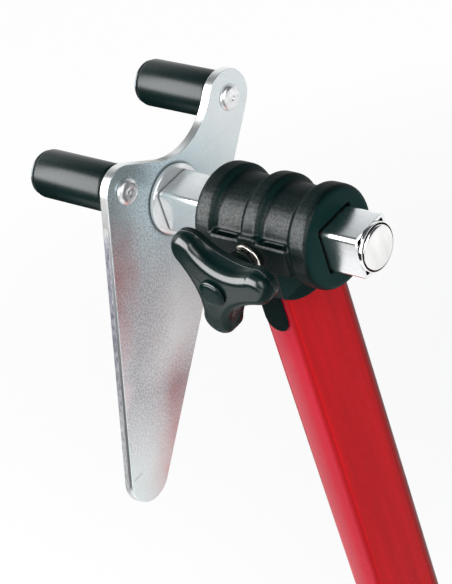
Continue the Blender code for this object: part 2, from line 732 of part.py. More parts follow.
def make_bar(group, arm, cutters):
    hollow = BAR_SIDE - 2 * BAR_WALL
    outlines = [rounded_rectangle(BAR_SIDE, BAR_SIDE, BAR_CORNER),
                rounded_rectangle(hollow, hollow, BAR_CORNER - BAR_WALL)]
    bar = extruded("square_bar", outlines, BAR_LENGTH)
    place(bar, ((BAR_START + BAR_END) / 2, 0.0, AXIS_HEIGHT), ACROSS_X)
    adopt(bar, group, arm, ((0.72, 0.73, 0.74), 0.22, 1.0))

    radius, rim = CAP_DIAMETER / 2, BAR_END + GAP
    profile = [(0.0, rim + CAP_RIM + CAP_CROWN)]
    profile += quarter_round((0.0, rim + CAP_RIM + CAP_CROWN), (radius, rim + CAP_RIM), True, 6)
    profile += [(radius, rim + CAP_RIM), (radius, rim), (0.0, rim)]
    cap = turned("bar_end_cap", profile, FINE)
    place(cap, (0.0, 0.0, AXIS_HEIGHT), ALONG_X)
    plug = box("end_cap_plug", (CAP_PLUG + CAP_RIM, BAR_INSIDE, BAR_INSIDE))
    add_bevel(plug, SPIGOT_CHAMFER)
    place(plug, (rim + CAP_RIM / 2 - (CAP_PLUG + CAP_RIM) / 2, 0.0, AXIS_HEIGHT))
    boolean(cap, plug, "UNION", cutters)
    adopt(cap, group, arm, ((0.80, 0.79, 0.77), 0.08, 1.0))


def make_flange(group, arm, cutters):
    radius, tenon = FLANGE_DIAMETER / 2, TENON_DIAMETER / 2
    front, back = FLANGE_FRONT, FLANGE_FRONT - FLANGE_THICKNESS
    profile = [(0.0, front), (radius - FLANGE_EDGE, front), (radius, front - FLANGE_EDGE), (radius, back),
               (tenon, back), (tenon, PLATE_BACK), (0.0, PLATE_BACK)]
    flange = turned("bar_flange", profile, FINE)
    place(flange, (0.0, 0.0, AXIS_HEIGHT), ALONG_X)
    root = FLANGE_THICKNESS / 2
    spigot = box("flange_spigot", (SPIGOT_LENGTH + root, BAR_INSIDE, BAR_INSIDE))
    add_bevel(spigot, SPIGOT_CHAMFER)
    place(spigot, (front + (SPIGOT_LENGTH - root) / 2, 0.0, AXIS_HEIGHT))
    boolean(flange, spigot, "UNION", cutters)
    depth = 2 * (SPIGOT_LENGTH + FLANGE_THICKNESS + PLATE_THICKNESS)
    bore = extruded("flange_bore", [ring_of(FLANGE_SCREW_DIAMETER / 2 + GAP, SMALL)], depth)
    place(bore, (front, 0.0, AXIS_HEIGHT), ACROSS_X)
    boolean(flange, bore, "DIFFERENCE", cutters)
    adopt(flange, group, arm, ((0.72, 0.73, 0.74), 0.2, 1.0))

    washer_back = PLATE_BACK - GAP - FLANGE_WASHER_THICKNESS
    spread = washer("flange_washer", FLANGE_WASHER_DIAMETER / 2, FLANGE_SCREW_DIAMETER / 2 + GAP,
                    FLANGE_WASHER_THICKNESS)
    place(spread, (washer_back, 0.0, AXIS_HEIGHT), ALONG_X)
    adopt(spread, group, arm, ((0.7, 0.7, 0.7), 0.3, 1.0))

    head, shank = FLANGE_SCREW_HEAD / 2, FLANGE_SCREW_DIAMETER / 2
    seat = washer_back - GAP
    top = seat - FLANGE_SCREW_HEAD_HEIGHT
    profile = [(0.0, seat + FLANGE_SCREW_LENGTH), (shank, seat + FLANGE_SCREW_LENGTH), (shank, seat), (head, seat)]
    profile += quarter_round((head, seat), (0.5 * head, top), False, 4)
    profile += [(0.5 * head, top), (0.0, top)]
    screw = turned("flange_screw", profile, SMALL)
    place(screw, (0.0, 0.0, AXIS_HEIGHT), ALONG_X)
    key = extruded("flange_screw_key", [hexagon(FLANGE_SCREW_KEY)], FLANGE_SCREW_HEAD_HEIGHT)
    place(key, (top, 0.0, AXIS_HEIGHT), ACROSS_X)
    boolean(screw, key, "DIFFERENCE", cutters)
    adopt(screw, group, arm, ((0.6, 0.6, 0.6), 0.3, 1.0))


def plate_outline():
    """Head plate as seen from the capped end: a corner round each roller, a hollow between them and a long tail."""
    left, right = Vector((LEFT_ROLLER, ROLLER_HEIGHT)), Vector((RIGHT_ROLLER, ROLLER_HEIGHT))
    radius = CRADLE_RADIUS
    cradle = cradle_centre(right, radius)
    while (cradle - left).length < radius + LEFT_CORNER_RADIUS:
        radius = 0.97 * radius
        cradle = cradle_centre(right, radius)
    return belt([
        (Vector((TAIL_ACROSS, TAIL_DOWN)), TAIL_RADIUS),
        (right, RIGHT_CORNER_RADIUS),
        (cradle, -radius),
        (left, LEFT_CORNER_RADIUS),
    ])


def cradle_centre(right, radius):
    """Centre of the hollow that touches the right corner and reaches down to its floor."""
    height = CRADLE_FLOOR + radius
    reach = math.sqrt((radius + RIGHT_CORNER_RADIUS) ** 2 - (height - right.y) ** 2)
    return Vector((right.x - reach, height))


def make_plate(group, arm):
    holes = [ring_of(TENON_DIAMETER / 2 + GAP, PLAIN)]
    for across in (LEFT_ROLLER, RIGHT_ROLLER):
        centre = Vector((across, ROLLER_HEIGHT))
        holes.append([centre + spot for spot in ring_of(PIN_DIAMETER / 2 + GAP, SMALL)])
    plate = extruded("side_plate", [plate_outline()] + holes, PLATE_THICKNESS)
    place(plate, ((PLATE_FRONT + PLATE_BACK) / 2, 0.0, AXIS_HEIGHT), ACROSS_X)
    add_bevel(plate, PLATE_EDGE)
    adopt(plate, group, arm, ((0.66, 0.68, 0.69), 0.38, 1.0))


# Rollers

def make_pin(name, where, group, arm):
    head, shank, tail = PIN_HEAD_DIAMETER / 2, PIN_DIAMETER / 2, PIN_TAIL_DIAMETER / 2
    seat = PLATE_FRONT + GAP
    crown, end = seat + PIN_HEAD_HEIGHT, TAIL_FRONT - PIN_TAIL_HEIGHT
    dimple = PIN_DIMPLE_DIAMETER / 2
    profile = [(0.0, crown - PIN_DIMPLE_DEPTH), (0.6 * dimple, crown - PIN_DIMPLE_DEPTH), (dimple, crown)]
    profile += quarter_round((dimple, crown), (head, seat), True, 5)
    profile += [(head, seat), (shank, seat), (shank, TAIL_FRONT), (tail, TAIL_FRONT)]
    profile += quarter_round((tail, TAIL_FRONT), (0.5 * tail, end), False, 4)
    profile += [(0.5 * tail, end), (0.0, end)]
    pin = turned(name, profile, PLAIN)
    place(pin, where, ALONG_X)
    adopt(pin, group, arm, ((0.72, 0.73, 0.74), 0.2, 1.0))


def make_roller(side, across, group, arm, spin):
    axis = (0.0, across, AXIS_HEIGHT + ROLLER_HEIGHT)
    make_pin(side + "_pin", axis, group, arm)

    bore = PIN_DIAMETER / 2 + GAP
    thrust = washer(side + "_thrust_washer", THRUST_WASHER_DIAMETER / 2, bore, THRUST_WASHER_THICKNESS)
    place(thrust, (THRUST_FRONT - THRUST_WASHER_THICKNESS, across, axis[2]), ALONG_X)
    adopt(thrust, group, arm, ((0.7, 0.7, 0.66), 0.5, 0.0))

    end = washer(side + "_end_washer", END_WASHER_DIAMETER / 2, bore, END_WASHER_THICKNESS)
    place(end, (END_WASHER_FRONT - END_WASHER_THICKNESS, across, axis[2]), ALONG_X)
    adopt(end, group, arm, ((0.74, 0.74, 0.74), 0.25, 1.0))

    outer, hole = ROLLER_DIAMETER / 2, bore + BUSH_WALL + GAP
    front, back = ROLLER_FRONT, ROLLER_BACK
    profile = [(hole, front), (outer - ROLLER_ROUND, front)]
    profile += quarter_round((outer - ROLLER_ROUND, front), (outer, front - ROLLER_ROUND), True, 4)
    profile += [(outer, front - ROLLER_ROUND), (outer, back + ROLLER_ROUND)]
    profile += quarter_round((outer, back + ROLLER_ROUND), (outer - ROLLER_ROUND, back), False, 4)
    profile += [(outer - ROLLER_ROUND, back), (hole, back)]
    roller = turned(side + "_roller", profile, FINE, closed=True)
    place(roller, axis, ALONG_X)
    adopt(roller, group, spin, ((0.03, 0.03, 0.03), 0.42, 0.0))

    for end_name, start in (("inner", front - BUSH_LENGTH), ("outer", back)):
        bush = washer(side + "_" + end_name + "_bush", bore + BUSH_WALL, bore, BUSH_LENGTH, SMALL)
        place(bush, (start, across, axis[2]), ALONG_X)
        adopt(bush, group, spin, ((0.58, 0.42, 0.2), 0.4, 1.0))


def main():
    clear_scene()
    group = new_collection("roller_stand")
    cutters = new_collection("cutters")
    stand = new_empty("stand_body", (0.0, 0.0, 0.0), group)
    arm = new_empty("arm_body", (0.0, 0.0, AXIS_HEIGHT), group)
    clamp = new_empty("clamp_body", (0.0, -PRESS_PAD_FACE, AXIS_HEIGHT), group)
    knob = new_empty("knob_body", (0.0, -KNOB_BACK, AXIS_HEIGHT), group)

    make_base(group, stand)
    make_post(group, stand)
    make_post_plug(group, stand, cutters)
    make_collar_screw(group, stand, cutters)
    make_collar(group, stand, cutters)
    make_clamp_nut(group, stand)
    make_press_pad(group, clamp)
    make_stud(group, knob)
    make_spring_washer(group, knob)
    make_knob(group, knob)
    make_knob_cap(group, knob)
    make_bar(group, arm, cutters)
    make_flange(group, arm, cutters)
    make_plate(group, arm)
    for side, across in (("left", LEFT_ROLLER), ("right", RIGHT_ROLLER)):
        spin = new_empty(side + "_roller_body", (ROLLER_FRONT, across, AXIS_HEIGHT + ROLLER_HEIGHT), group)
        make_roller(side, across, group, arm, spin)
    bpy.context.view_layer.update()


main()
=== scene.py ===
"""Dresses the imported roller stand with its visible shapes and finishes, in a small white studio."""

import json
import math

import bmesh
import bpy
from mathutils import Matrix, Vector, noise

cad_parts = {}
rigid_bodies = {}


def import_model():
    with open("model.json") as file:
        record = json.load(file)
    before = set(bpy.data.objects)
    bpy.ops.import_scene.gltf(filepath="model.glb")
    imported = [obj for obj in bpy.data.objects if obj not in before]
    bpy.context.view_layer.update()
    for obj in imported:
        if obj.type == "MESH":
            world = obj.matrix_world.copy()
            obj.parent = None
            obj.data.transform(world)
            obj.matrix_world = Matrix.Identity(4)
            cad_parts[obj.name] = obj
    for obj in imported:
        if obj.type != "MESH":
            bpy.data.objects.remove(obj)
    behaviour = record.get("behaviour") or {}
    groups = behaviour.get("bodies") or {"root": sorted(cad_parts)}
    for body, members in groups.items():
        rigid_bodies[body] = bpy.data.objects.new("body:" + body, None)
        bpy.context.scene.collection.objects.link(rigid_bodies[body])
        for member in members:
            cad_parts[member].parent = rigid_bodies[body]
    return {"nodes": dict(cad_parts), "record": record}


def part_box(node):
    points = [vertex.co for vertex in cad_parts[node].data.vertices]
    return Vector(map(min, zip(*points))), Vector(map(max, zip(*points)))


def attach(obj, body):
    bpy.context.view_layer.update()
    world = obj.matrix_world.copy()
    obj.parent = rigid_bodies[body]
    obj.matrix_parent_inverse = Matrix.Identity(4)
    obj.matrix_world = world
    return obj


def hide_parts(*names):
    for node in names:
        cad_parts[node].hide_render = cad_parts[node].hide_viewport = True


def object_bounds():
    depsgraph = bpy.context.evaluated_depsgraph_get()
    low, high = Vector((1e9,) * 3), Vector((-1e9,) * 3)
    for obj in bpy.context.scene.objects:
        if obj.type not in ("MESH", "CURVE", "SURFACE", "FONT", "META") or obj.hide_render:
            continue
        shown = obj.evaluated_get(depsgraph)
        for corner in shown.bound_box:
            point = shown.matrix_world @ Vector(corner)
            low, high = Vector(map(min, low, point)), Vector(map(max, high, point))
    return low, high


for leftover in list(bpy.data.objects):
    bpy.data.objects.remove(leftover)
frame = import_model()
CAD_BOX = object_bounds()

bl_info = {
    "name": "Roller stand",
    "version": (1, 0, 0),
    "blender": (4, 5, 0),
    "location": "View3D > Sidebar > Roller stand",
    "description": "Shapes and finishes of a roller stand with a sliding head, and a white studio round it",
    "category": "Object",
}

# Where the solids lie, in metres
BODY_OF = {node: body for body, nodes in frame["record"]["behaviour"]["bodies"].items() for node in nodes}
COLOUR_OF = {row["slot"]: row["base_color"] for row in frame["record"]["materials"]}
POST_LOW, POST_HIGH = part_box("post")
WELD_LOW, WELD_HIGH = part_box("foot_weld")
BAR_LOW, BAR_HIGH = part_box("square_bar")
PLATE_LOW, PLATE_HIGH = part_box("side_plate")
CAP_LOW, CAP_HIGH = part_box("bar_end_cap")
SPRING_LOW, SPRING_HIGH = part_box("spring_washer")
KNOB_LOW, KNOB_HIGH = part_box("clamp_knob")
KNOB_CAP_LOW, KNOB_CAP_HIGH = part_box("knob_cap")
PIN_LOW, PIN_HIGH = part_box("left_pin")
AXIS_HEIGHT = (BAR_LOW.z + BAR_HIGH.z) / 2
BAR_AXIS = Vector((0.0, 0.0, AXIS_HEIGHT))
ALONG_BAR = Vector((1.0, 0.0, 0.0))
TO_KNOB = Vector((0.0, -1.0, 0.0))
WELD_DISTANCE = 0.000002

# Camera that the photo was taken with: place and axes in the stand's frame
CAMERA_PLACE = Vector((0.6972, -0.6401, AXIS_HEIGHT + 0.6345))
CAMERA_RIGHT = Vector((0.7536, 0.6009, -0.2665))
CAMERA_UP = Vector((-0.2038, 0.5990, 0.7744))
CAMERA_BACK = Vector((0.6250, -0.5293, 0.5738))
CAMERA_LENS = 139.45
CAMERA_SENSOR = 36.0


def length(name, description, default):
    return bpy.props.FloatProperty(name=name, description=description, default=default, min=0.0, precision=4,
                                   subtype="DISTANCE", unit="LENGTH")


def colour(name, description, default):
    return bpy.props.FloatVectorProperty(
        name=name, description=description, default=default, size=3, min=0.0, max=1.0, subtype="COLOR")


def level(name, description, default):
    return bpy.props.FloatProperty(name=name, description=description, default=default, min=0.0)


class StandColours(bpy.types.PropertyGroup):
    """Colours of the stand's finishes"""

    red: colour("Red coat", "Powder coat on post and base", (0.57, 0.006, 0.011))
    # Painted shade: a darker red for the post's glossy front, with a bluish painted reflection in it
    shaded_front_red: colour("Shaded red", "Powder coat on the post's rubbed front", (0.285, 0.003, 0.026))
    zinc: colour("Zinc", "Bright zinc plate on bar, flange and fasteners", (0.84, 0.86, 0.87))
    zinc_dark: colour("Dull zinc", "Middle of the plate's face", (0.67, 0.78, 0.81))
    zinc_light: colour("Pale zinc", "Plate's arm and tail", (0.92, 0.99, 1.0))
    zinc_green: colour("Green tint", "Pale zinc on the plate's lower half", (0.82, 0.97, 0.96))
    zinc_blue: colour("Blue tint", "Passivated zinc near the flange", (0.64, 0.83, 0.89))
    chrome: colour("Chrome", "Cap on the bar's free end", (0.86, 0.85, 0.83))
    spring: colour("Spring wire", "Split ring under the knob", (0.80, 0.76, 0.68))
    collar: colour("Collar", "Moulded collar", (0.0010, 0.0062, 0.0058))
    knob: colour("Knob", "Clamp knob and its cap", (0.0020, 0.0108, 0.0103))
    roller: colour("Rollers", "Turned rollers", (0.0012, 0.0082, 0.0078))
    rubber: colour("Rubber", "Sheet under the base", COLOUR_OF["base_rubber"])
    steel: colour("Steel", "Unplated fasteners", COLOUR_OF["raw_steel"])
    bronze: colour("Bronze", "Bearings and pressure pad", COLOUR_OF["bearing_bronze"])
    nylon: colour("Nylon", "Thrust washers", COLOUR_OF["washer_nylon"])


class StandShapes(bpy.types.PropertyGroup):
    """Sizes of the detail that the solids leave out"""

    tube_bulge: length("Tube bulge", "Bulge of the post's faces", 0.0002)
    plate_edge: length("Plate edge", "Rounding of the head plate's edges", 0.0005)
    fastener_edge: length("Fastener edge", "Rounding of small steel edges", 0.0002)
    collar_detail: length("Collar detail", "Finest detail of the moulded collar", 0.0006)
    weld_ripple: length("Weld ripple", "Height of the ripples in the weld bead", 0.0004)
    weld_step: length("Weld step", "Distance from ripple to ripple", 0.0024)
    cap_groove: length("Cap groove", "Depth of the groove inside the end cap's rim", 0.0013)
    rivet_dent: length("Rivet dent", "Depth of the punch mark in a rivet head", 0.0005)


class StandStudio(bpy.types.PropertyGroup):
    """Light in the studio"""

    key: level("Key light", "Wide softbox in front of the knob, left of the camera", 5.2)
    fill: level("Fill light", "Large soft panel to the right of the camera", 2.5)
    sky: level("Room light", "Light from the room all round", 1.0)
    floor: colour("Floor", "Pale floor", (0.86, 0.86, 0.86))


# Mesh tools

# Angles between faces, in degrees: from which an edge is sharp, and below which two faces are one
CREASE = 30.0
SMOOTH = 180.0
FLAT = 0.5


def link(item):
    bpy.context.scene.collection.objects.link(item)
    return item


def new_mesh(name, bm):
    mesh = bpy.data.meshes.new(name)
    bm.to_mesh(mesh)
    bm.free()
    return mesh


def new_piece(name, bm, finishes, nodes, crease=CREASE):
    """Makes a body into a piece that stands for CAD nodes and moves with them."""
    bmesh.ops.recalc_face_normals(bm, faces=bm.faces)
    mesh = new_mesh(name, bm)
    custom = mesh.attributes.get("custom_normal")
    if custom:
        mesh.attributes.remove(custom)
    mesh.shade_smooth()
    mesh.set_sharp_from_angle(angle=math.radians(crease))
    for material in finishes:
        mesh.materials.append(material)
    piece = link(bpy.data.objects.new(name, mesh))
    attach(piece, BODY_OF[nodes[0]])
    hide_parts(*nodes)
    return piece


def cad_copy(node):
    """Body of a CAD node with its split triangles joined into whole faces."""
    bm = bmesh.new()
    bm.from_mesh(frame["nodes"][node].data)
    bmesh.ops.remove_doubles(bm, verts=bm.verts, dist=WELD_DISTANCE)
    bmesh.ops.dissolve_limit(bm, angle_limit=math.radians(FLAT), verts=bm.verts, edges=bm.edges)
    return bm


def round_edges(piece, width):
    bevel = piece.modifiers.new("rounded edges", "BEVEL")
    bevel.width = width
    bevel.segments = 2
    bevel.limit_method = "ANGLE"
    bevel.angle_limit = math.radians(CREASE)
    bevel.harden_normals = True


def dressed(node, maker, edge=0.0):
    """A CAD node's own shape, with smooth faces and rounded edges."""
    piece = new_piece(node + "_finish", cad_copy(node), [finish(maker)], [node], SMOOTH if edge else CREASE)
    if edge:
        round_edges(piece, edge)


def turned(profile, origin, axis, sides):
    """Spins a profile of radius and distance along the axis into a body."""
    side = axis.orthogonal().normalized()
    bm = bmesh.new()
    verts = [bm.verts.new(origin + axis * along + side * radius) for radius, along in profile]
    edges = [bm.edges.new(pair) for pair in zip(verts, verts[1:])]
    bmesh.ops.spin(
        bm, geom=verts + edges, cent=origin, axis=axis, angle=2 * math.pi, steps=sides, use_merge=True)
    bmesh.ops.remove_doubles(bm, verts=bm.verts, dist=WELD_DISTANCE)
    return bm


def arc(start, end, corner, steps):
    """Points of a quarter ellipse from start to end that bulges towards a corner."""
    points = []
    for step in range(steps + 1):
        angle = math.pi / 2 * step / steps
        centre = (start[0] + end[0] - corner[0], start[1] + end[1] - corner[1])
        points.append((
            centre[0] + (start[0] - centre[0]) * math.cos(angle) + (end[0] - centre[0]) * math.sin(angle),
            centre[1] + (start[1] - centre[1]) * math.cos(angle) + (end[1] - centre[1]) * math.sin(angle),
        ))
    return points


def polar(radius, degrees):
    return Vector((radius * math.cos(math.radians(degrees)), radius * math.sin(math.radians(degrees))))


def belt(circles, arc_points):
    """Outline of a belt round circles, anticlockwise; a negative radius is a hollow."""
    count = len(circles)
    headings = []
    for index, (centre, radius) in enumerate(circles):
        next_centre, next_radius = circles[(index + 1) % count]
        span = next_centre - centre
        lean = math.asin(max(-1.0, min(1.0, (next_radius - radius) / span.length)))
        headings.append(math.atan2(span.y, span.x) - lean)
    points = []
    for index, (centre, radius) in enumerate(circles):
        start = headings[index - 1]
        turn = (headings[index] - start) % (2 * math.pi)
        if radius < 0:
            turn = turn - 2 * math.pi
        for step in range(arc_points + 1):
            heading = start + turn * step / arc_points
            points.append(centre + radius * Vector((math.sin(heading), -math.cos(heading))))
    return points


def evenly(points, count):
    """The same closed outline with evenly spaced points."""
    closed = points + points[:1]
    reach = [0.0]
    for first, second in zip(closed, closed[1:]):
        reach.append(reach[-1] + (second - first).length)
    spaced = []
    index = 0
    for step in range(count):
        target = reach[-1] * step / count
        while reach[index + 1] < target:
            index += 1
        share = (target - reach[index]) / max(reach[index + 1] - reach[index], 1e-9)
        spaced.append(closed[index].lerp(closed[index + 1], share))
    return spaced


def skin(rings, closed):
    """Body whose faces run from ring to ring, and from the last to the first where it is closed."""
    bm = bmesh.new()
    rows = [[bm.verts.new(spot) for spot in ring] for ring in rings]
    pairs = list(zip(rows, rows[1:]))
    if closed:
        pairs.append((rows[-1], rows[0]))
    for first, second in pairs:
        for index in range(len(first)):
            bm.faces.new((first[index - 1], first[index], second[index], second[index - 1]))
    if not closed:
        bm.faces.new(rows[0])
        bm.faces.new(rows[-1])
    return bm


# Node tools

def feed(tree, value, socket):
    """Gives a socket either another socket's output or a plain value."""
    if isinstance(value, bpy.types.NodeSocket):
        tree.links.new(value, socket)
    else:
        socket.default_value = value


def add(tree, kind, values=None, **settings):
    """New shader node with its settings and inputs."""
    node = tree.nodes.new(kind)
    for key, value in settings.items():
        setattr(node, key, value)
    for key, value in (values or {}).items():
        feed(tree, value, node.inputs[key])
    return node


def blend(tree, share, first, second):
    """Colour between two, by a mask."""
    pair = [value if isinstance(value, bpy.types.NodeSocket) else (*value, 1.0) for value in (first, second)]
    return add(tree, "ShaderNodeMix", {0: share, 6: pair[0], 7: pair[1]}, data_type="RGBA").outputs[2]


def between(tree, value, low, high, to_low=0.0, to_high=1.0):
    """Value carried from one range to another, and kept in it."""
    return add(tree, "ShaderNodeMapRange", {0: value, 1: low, 2: high, 3: to_low, 4: to_high}).outputs[0]


def maths(tree, operation, first, second=0.0):
    return add(tree, "ShaderNodeMath", {0: first, 1: second}, operation=operation).outputs[0]


def times(tree, first, second):
    return maths(tree, "MULTIPLY", first, second)


def most(tree, first, *others):
    """Largest of several values."""
    for other in others:
        first = maths(tree, "MAXIMUM", first, other)
    return first


def band(tree, value, rise, fall):
    """Mask of the values between a rise and a fall."""
    return maths(tree, "MINIMUM", between(tree, value, *rise), between(tree, value, *fall, 1.0, 0.0))


def towards(tree, vector, direction):
    """How far a vector points in a direction."""
    return add(tree, "ShaderNodeVectorMath", {0: vector, 1: direction}, operation="DOT_PRODUCT").outputs["Value"]


def split(tree, vector):
    """A vector's x, y and z."""
    return add(tree, "ShaderNodeSeparateXYZ", {0: vector}).outputs


def place(tree):
    return add(tree, "ShaderNodeTexCoord").outputs["Object"]


def facing(tree):
    return add(tree, "ShaderNodeNewGeometry").outputs["Normal"]


def noise_mask(tree, vector, **values):
    return add(tree, "ShaderNodeTexNoise", {"Vector": vector, **values}).outputs[0]


def new_group(name, **inputs):
    """Shared effect with named values, which puts out a mask."""
    group = bpy.data.node_groups.new(name, "ShaderNodeTree")
    for socket, default in inputs.items():
        kind = "NodeSocketVector" if isinstance(default, tuple) else "NodeSocketFloat"
        group.interface.new_socket(socket, in_out="INPUT", socket_type=kind).default_value = default
    group.interface.new_socket("Mask", in_out="OUTPUT", socket_type="NodeSocketFloat")
    return group, group.nodes.new("NodeGroupInput").outputs, group.nodes.new("NodeGroupOutput").inputs["Mask"]


EVEN = (1.0, 1.0, 1.0)


def mottle_group():
    """Irregular light and dark, from a fine grain to broad clouds."""
    tree, given, mask = new_group("Stand mottle", Scale=500.0, Detail=3.0, Spread=0.15, Stretch=EVEN)
    lay = add(tree, "ShaderNodeVectorMath", {0: place(tree), 1: given["Stretch"]}, operation="MULTIPLY")
    cloud = noise_mask(tree, lay.outputs[0], Scale=given["Scale"], Detail=given["Detail"], Roughness=0.6)
    low = maths(tree, "SUBTRACT", 0.5, given["Spread"])
    high = maths(tree, "ADD", 0.5, given["Spread"])
    feed(tree, between(tree, cloud, low, high), mask)
    return tree


def scratch_group():
    """Thin broken lines along one direction."""
    tree, given, mask = new_group(
        "Stand scratches", Scale=60.0, Width=0.012, Turn=(0.0, 0.0, 0.0), Stretch=(1.0, 0.15, 1.0))
    spot = place(tree)
    lay = add(tree, "ShaderNodeMapping", {"Vector": spot, "Rotation": given["Turn"], "Scale": given["Stretch"]})
    lines = noise_mask(tree, lay.outputs[0], Scale=given["Scale"], Detail=1.0, Distortion=0.3)
    off_line = maths(tree, "ABSOLUTE", maths(tree, "SUBTRACT", lines, 0.5))
    line = between(tree, off_line, 0.0, given["Width"], 1.0, 0.0)
    kept = between(tree, noise_mask(tree, spot, Scale=70.0, Detail=2.0), 0.52, 0.60)
    feed(tree, times(tree, line, kept), mask)
    return tree


def dust_group():
    """Dust that settles on faces that look up."""
    tree, given, mask = new_group("Stand dust", Amount=0.3)
    upward = between(tree, split(tree, facing(tree))[2], 0.55, 1.0)
    specks = noise_mask(tree, place(tree), Scale=420.0, Detail=5.0, Roughness=0.7)
    settled = times(tree, upward, between(tree, specks, 0.42, 0.68))
    feed(tree, times(tree, settled, given["Amount"]), mask)
    return tree


GROUP_MAKERS = {"Stand mottle": mottle_group, "Stand scratches": scratch_group, "Stand dust": dust_group}


def effect(tree, name, **values):
    """Mask of a shared effect, with its own values."""
    group = bpy.data.node_groups.get(name) or GROUP_MAKERS[name]()
    return add(tree, "ShaderNodeGroup", values, node_tree=group).outputs["Mask"]


def mottle(tree, scale, spread=0.15, detail=3.0, stretch=EVEN):
    return effect(tree, "Stand mottle", Scale=scale, Spread=spread, Detail=detail, Stretch=stretch)


def shader(name, values):
    """New material with one Principled shader."""
    material = bpy.data.materials.new("stand_" + name)
    material.use_nodes = True
    tree = material.node_tree
    tree.nodes.clear()
    surface = add(tree, "ShaderNodeBsdfPrincipled", values)
    add(tree, "ShaderNodeOutputMaterial", {"Surface": surface.outputs[0]})
    return material, tree, surface


def bump(tree, surface, height, strength, distance):
    node = add(tree, "ShaderNodeBump", {"Strength": strength, "Distance": distance, "Height": height})
    feed(tree, node.outputs[0], surface.inputs["Normal"])


def roughen(tree, surface, mask, low, high):
    feed(tree, between(tree, mask, 0.0, 1.0, low, high), surface.inputs["Roughness"])


def paint_with(tree, surface, tone):
    feed(tree, tone, surface.inputs["Base Color"])


def shade(base, share):
    return tuple(min(1.0, part * share) for part in base)


def toned(tree, mask, base, low, high):
    """A colour that varies between two strengths."""
    return blend(tree, mask, shade(base, low), shade(base, high))


# Finishes. A mask's range is two numbers, followed by the mask's values there if they aren't 0 and 1

# Post's coat, by how far a face is turned: -1 looks to the front, 1 to the back. The gloss is by place across it
# Faces looking to the front: glossy there, and painted darker as painted shade
GLOSSY_SHADED_FRONT = (-0.35, -0.95)
# Painted shade in the front corners and round the back, and a painted highlight on a ridge beside each corner
CORNER_PAINTED_SHADE = ((-0.985, -0.90), (-0.50, -0.30))
RIDGE_PAINTED_HIGHLIGHT = ((-0.45, -0.25), (-0.12, -0.04))
BACK_PAINTED_SHADE = ((0.05, 0.38), (0.62, 0.88))
BACK_EDGE_PAINTED_SHADE = (0.02, 0.04, 0.0, 0.5)
FRONT_GLOSS = (-0.0098, 0.003, 1.0, 0.10)
RED_DUST = (0.5, 0.32, 0.30)


def red_coat(colours):
    """Powder coat with slight orange peel, faint streaks along the tube and a little dust. The front is glossy and
    has painted shade with a bluish painted reflection in it, its corners have painted shade with a painted
    highlight beside them, and the round back has painted shade."""
    material, tree, surface = shader(
        "red_coat", {"Specular IOR Level": 0.06, "Coat Roughness": 0.12, "Coat IOR": 1.75})
    turn = split(tree, facing(tree))[1]
    glossy = between(tree, turn, *GLOSSY_SHADED_FRONT)
    gloss = between(tree, split(tree, place(tree))[0], *FRONT_GLOSS)
    feed(tree, times(tree, glossy, gloss), surface.inputs["Coat Weight"])
    streaks = mottle(tree, 110.0, 0.2, 2.0, (1.0, 1.0, 0.06))
    paint = toned(tree, streaks, colours.red, 0.86, 1.1)
    # Painted shade on the front: a darker red with a bluish painted reflection
    paint = blend(tree, times(tree, glossy, 0.6), paint, colours.shaded_front_red)
    # Painted shade round the back and in the corners, and a painted highlight on the ridges
    back = most(tree, between(tree, turn, *BACK_EDGE_PAINTED_SHADE), band(tree, turn, *BACK_PAINTED_SHADE))
    for mask, strength, tone in ((band(tree, turn, *CORNER_PAINTED_SHADE), 0.8, 0.62),
                                 (band(tree, turn, *RIDGE_PAINTED_HIGHLIGHT), 0.6, 1.25), (back, 1.0, 0.27)):
        paint = blend(tree, times(tree, mask, strength), paint, shade(colours.red, tone))
    dust = effect(tree, "Stand dust", Amount=0.12)
    paint_with(tree, surface, blend(tree, dust, paint, RED_DUST))
    roughen(tree, surface, mottle(tree, 45.0), 0.24, 0.34)
    bump(tree, surface, mottle(tree, 420.0, 0.3, 2.0), 0.10, 0.0003)
    return material


# Head plate's face, in metres: across the tail, above the bar's axis, or from that axis
TAIL_LEAN = (0.852, 0.524)
RAGGED = 0.006
LEFT_MIRROR = (-0.018, -0.034)
RIGHT_MIRROR = (0.0, 0.014)
LOWER_HALF = (-0.070, -0.095)
LOWER_LEFT = (-0.03, -0.07)
TAIL_END = (-0.085, -0.125, 0.0, 0.8)
INNER_SIDE = (-0.016, 0.012, 0.0, 0.75)
ARM_SIDE = (-0.014, 0.024)
BELOW_HUB = (0.01, -0.02)
NEAR_HUB = (0.022, 0.052, 0.9, 0.0)
# Ring of painted shade in the seam round the flange
HUB_SEAM = (0.0193, 0.0208, 0.85, 0.0)
HUB_SEAM_SHADE = (0.05, 0.08, 0.09)


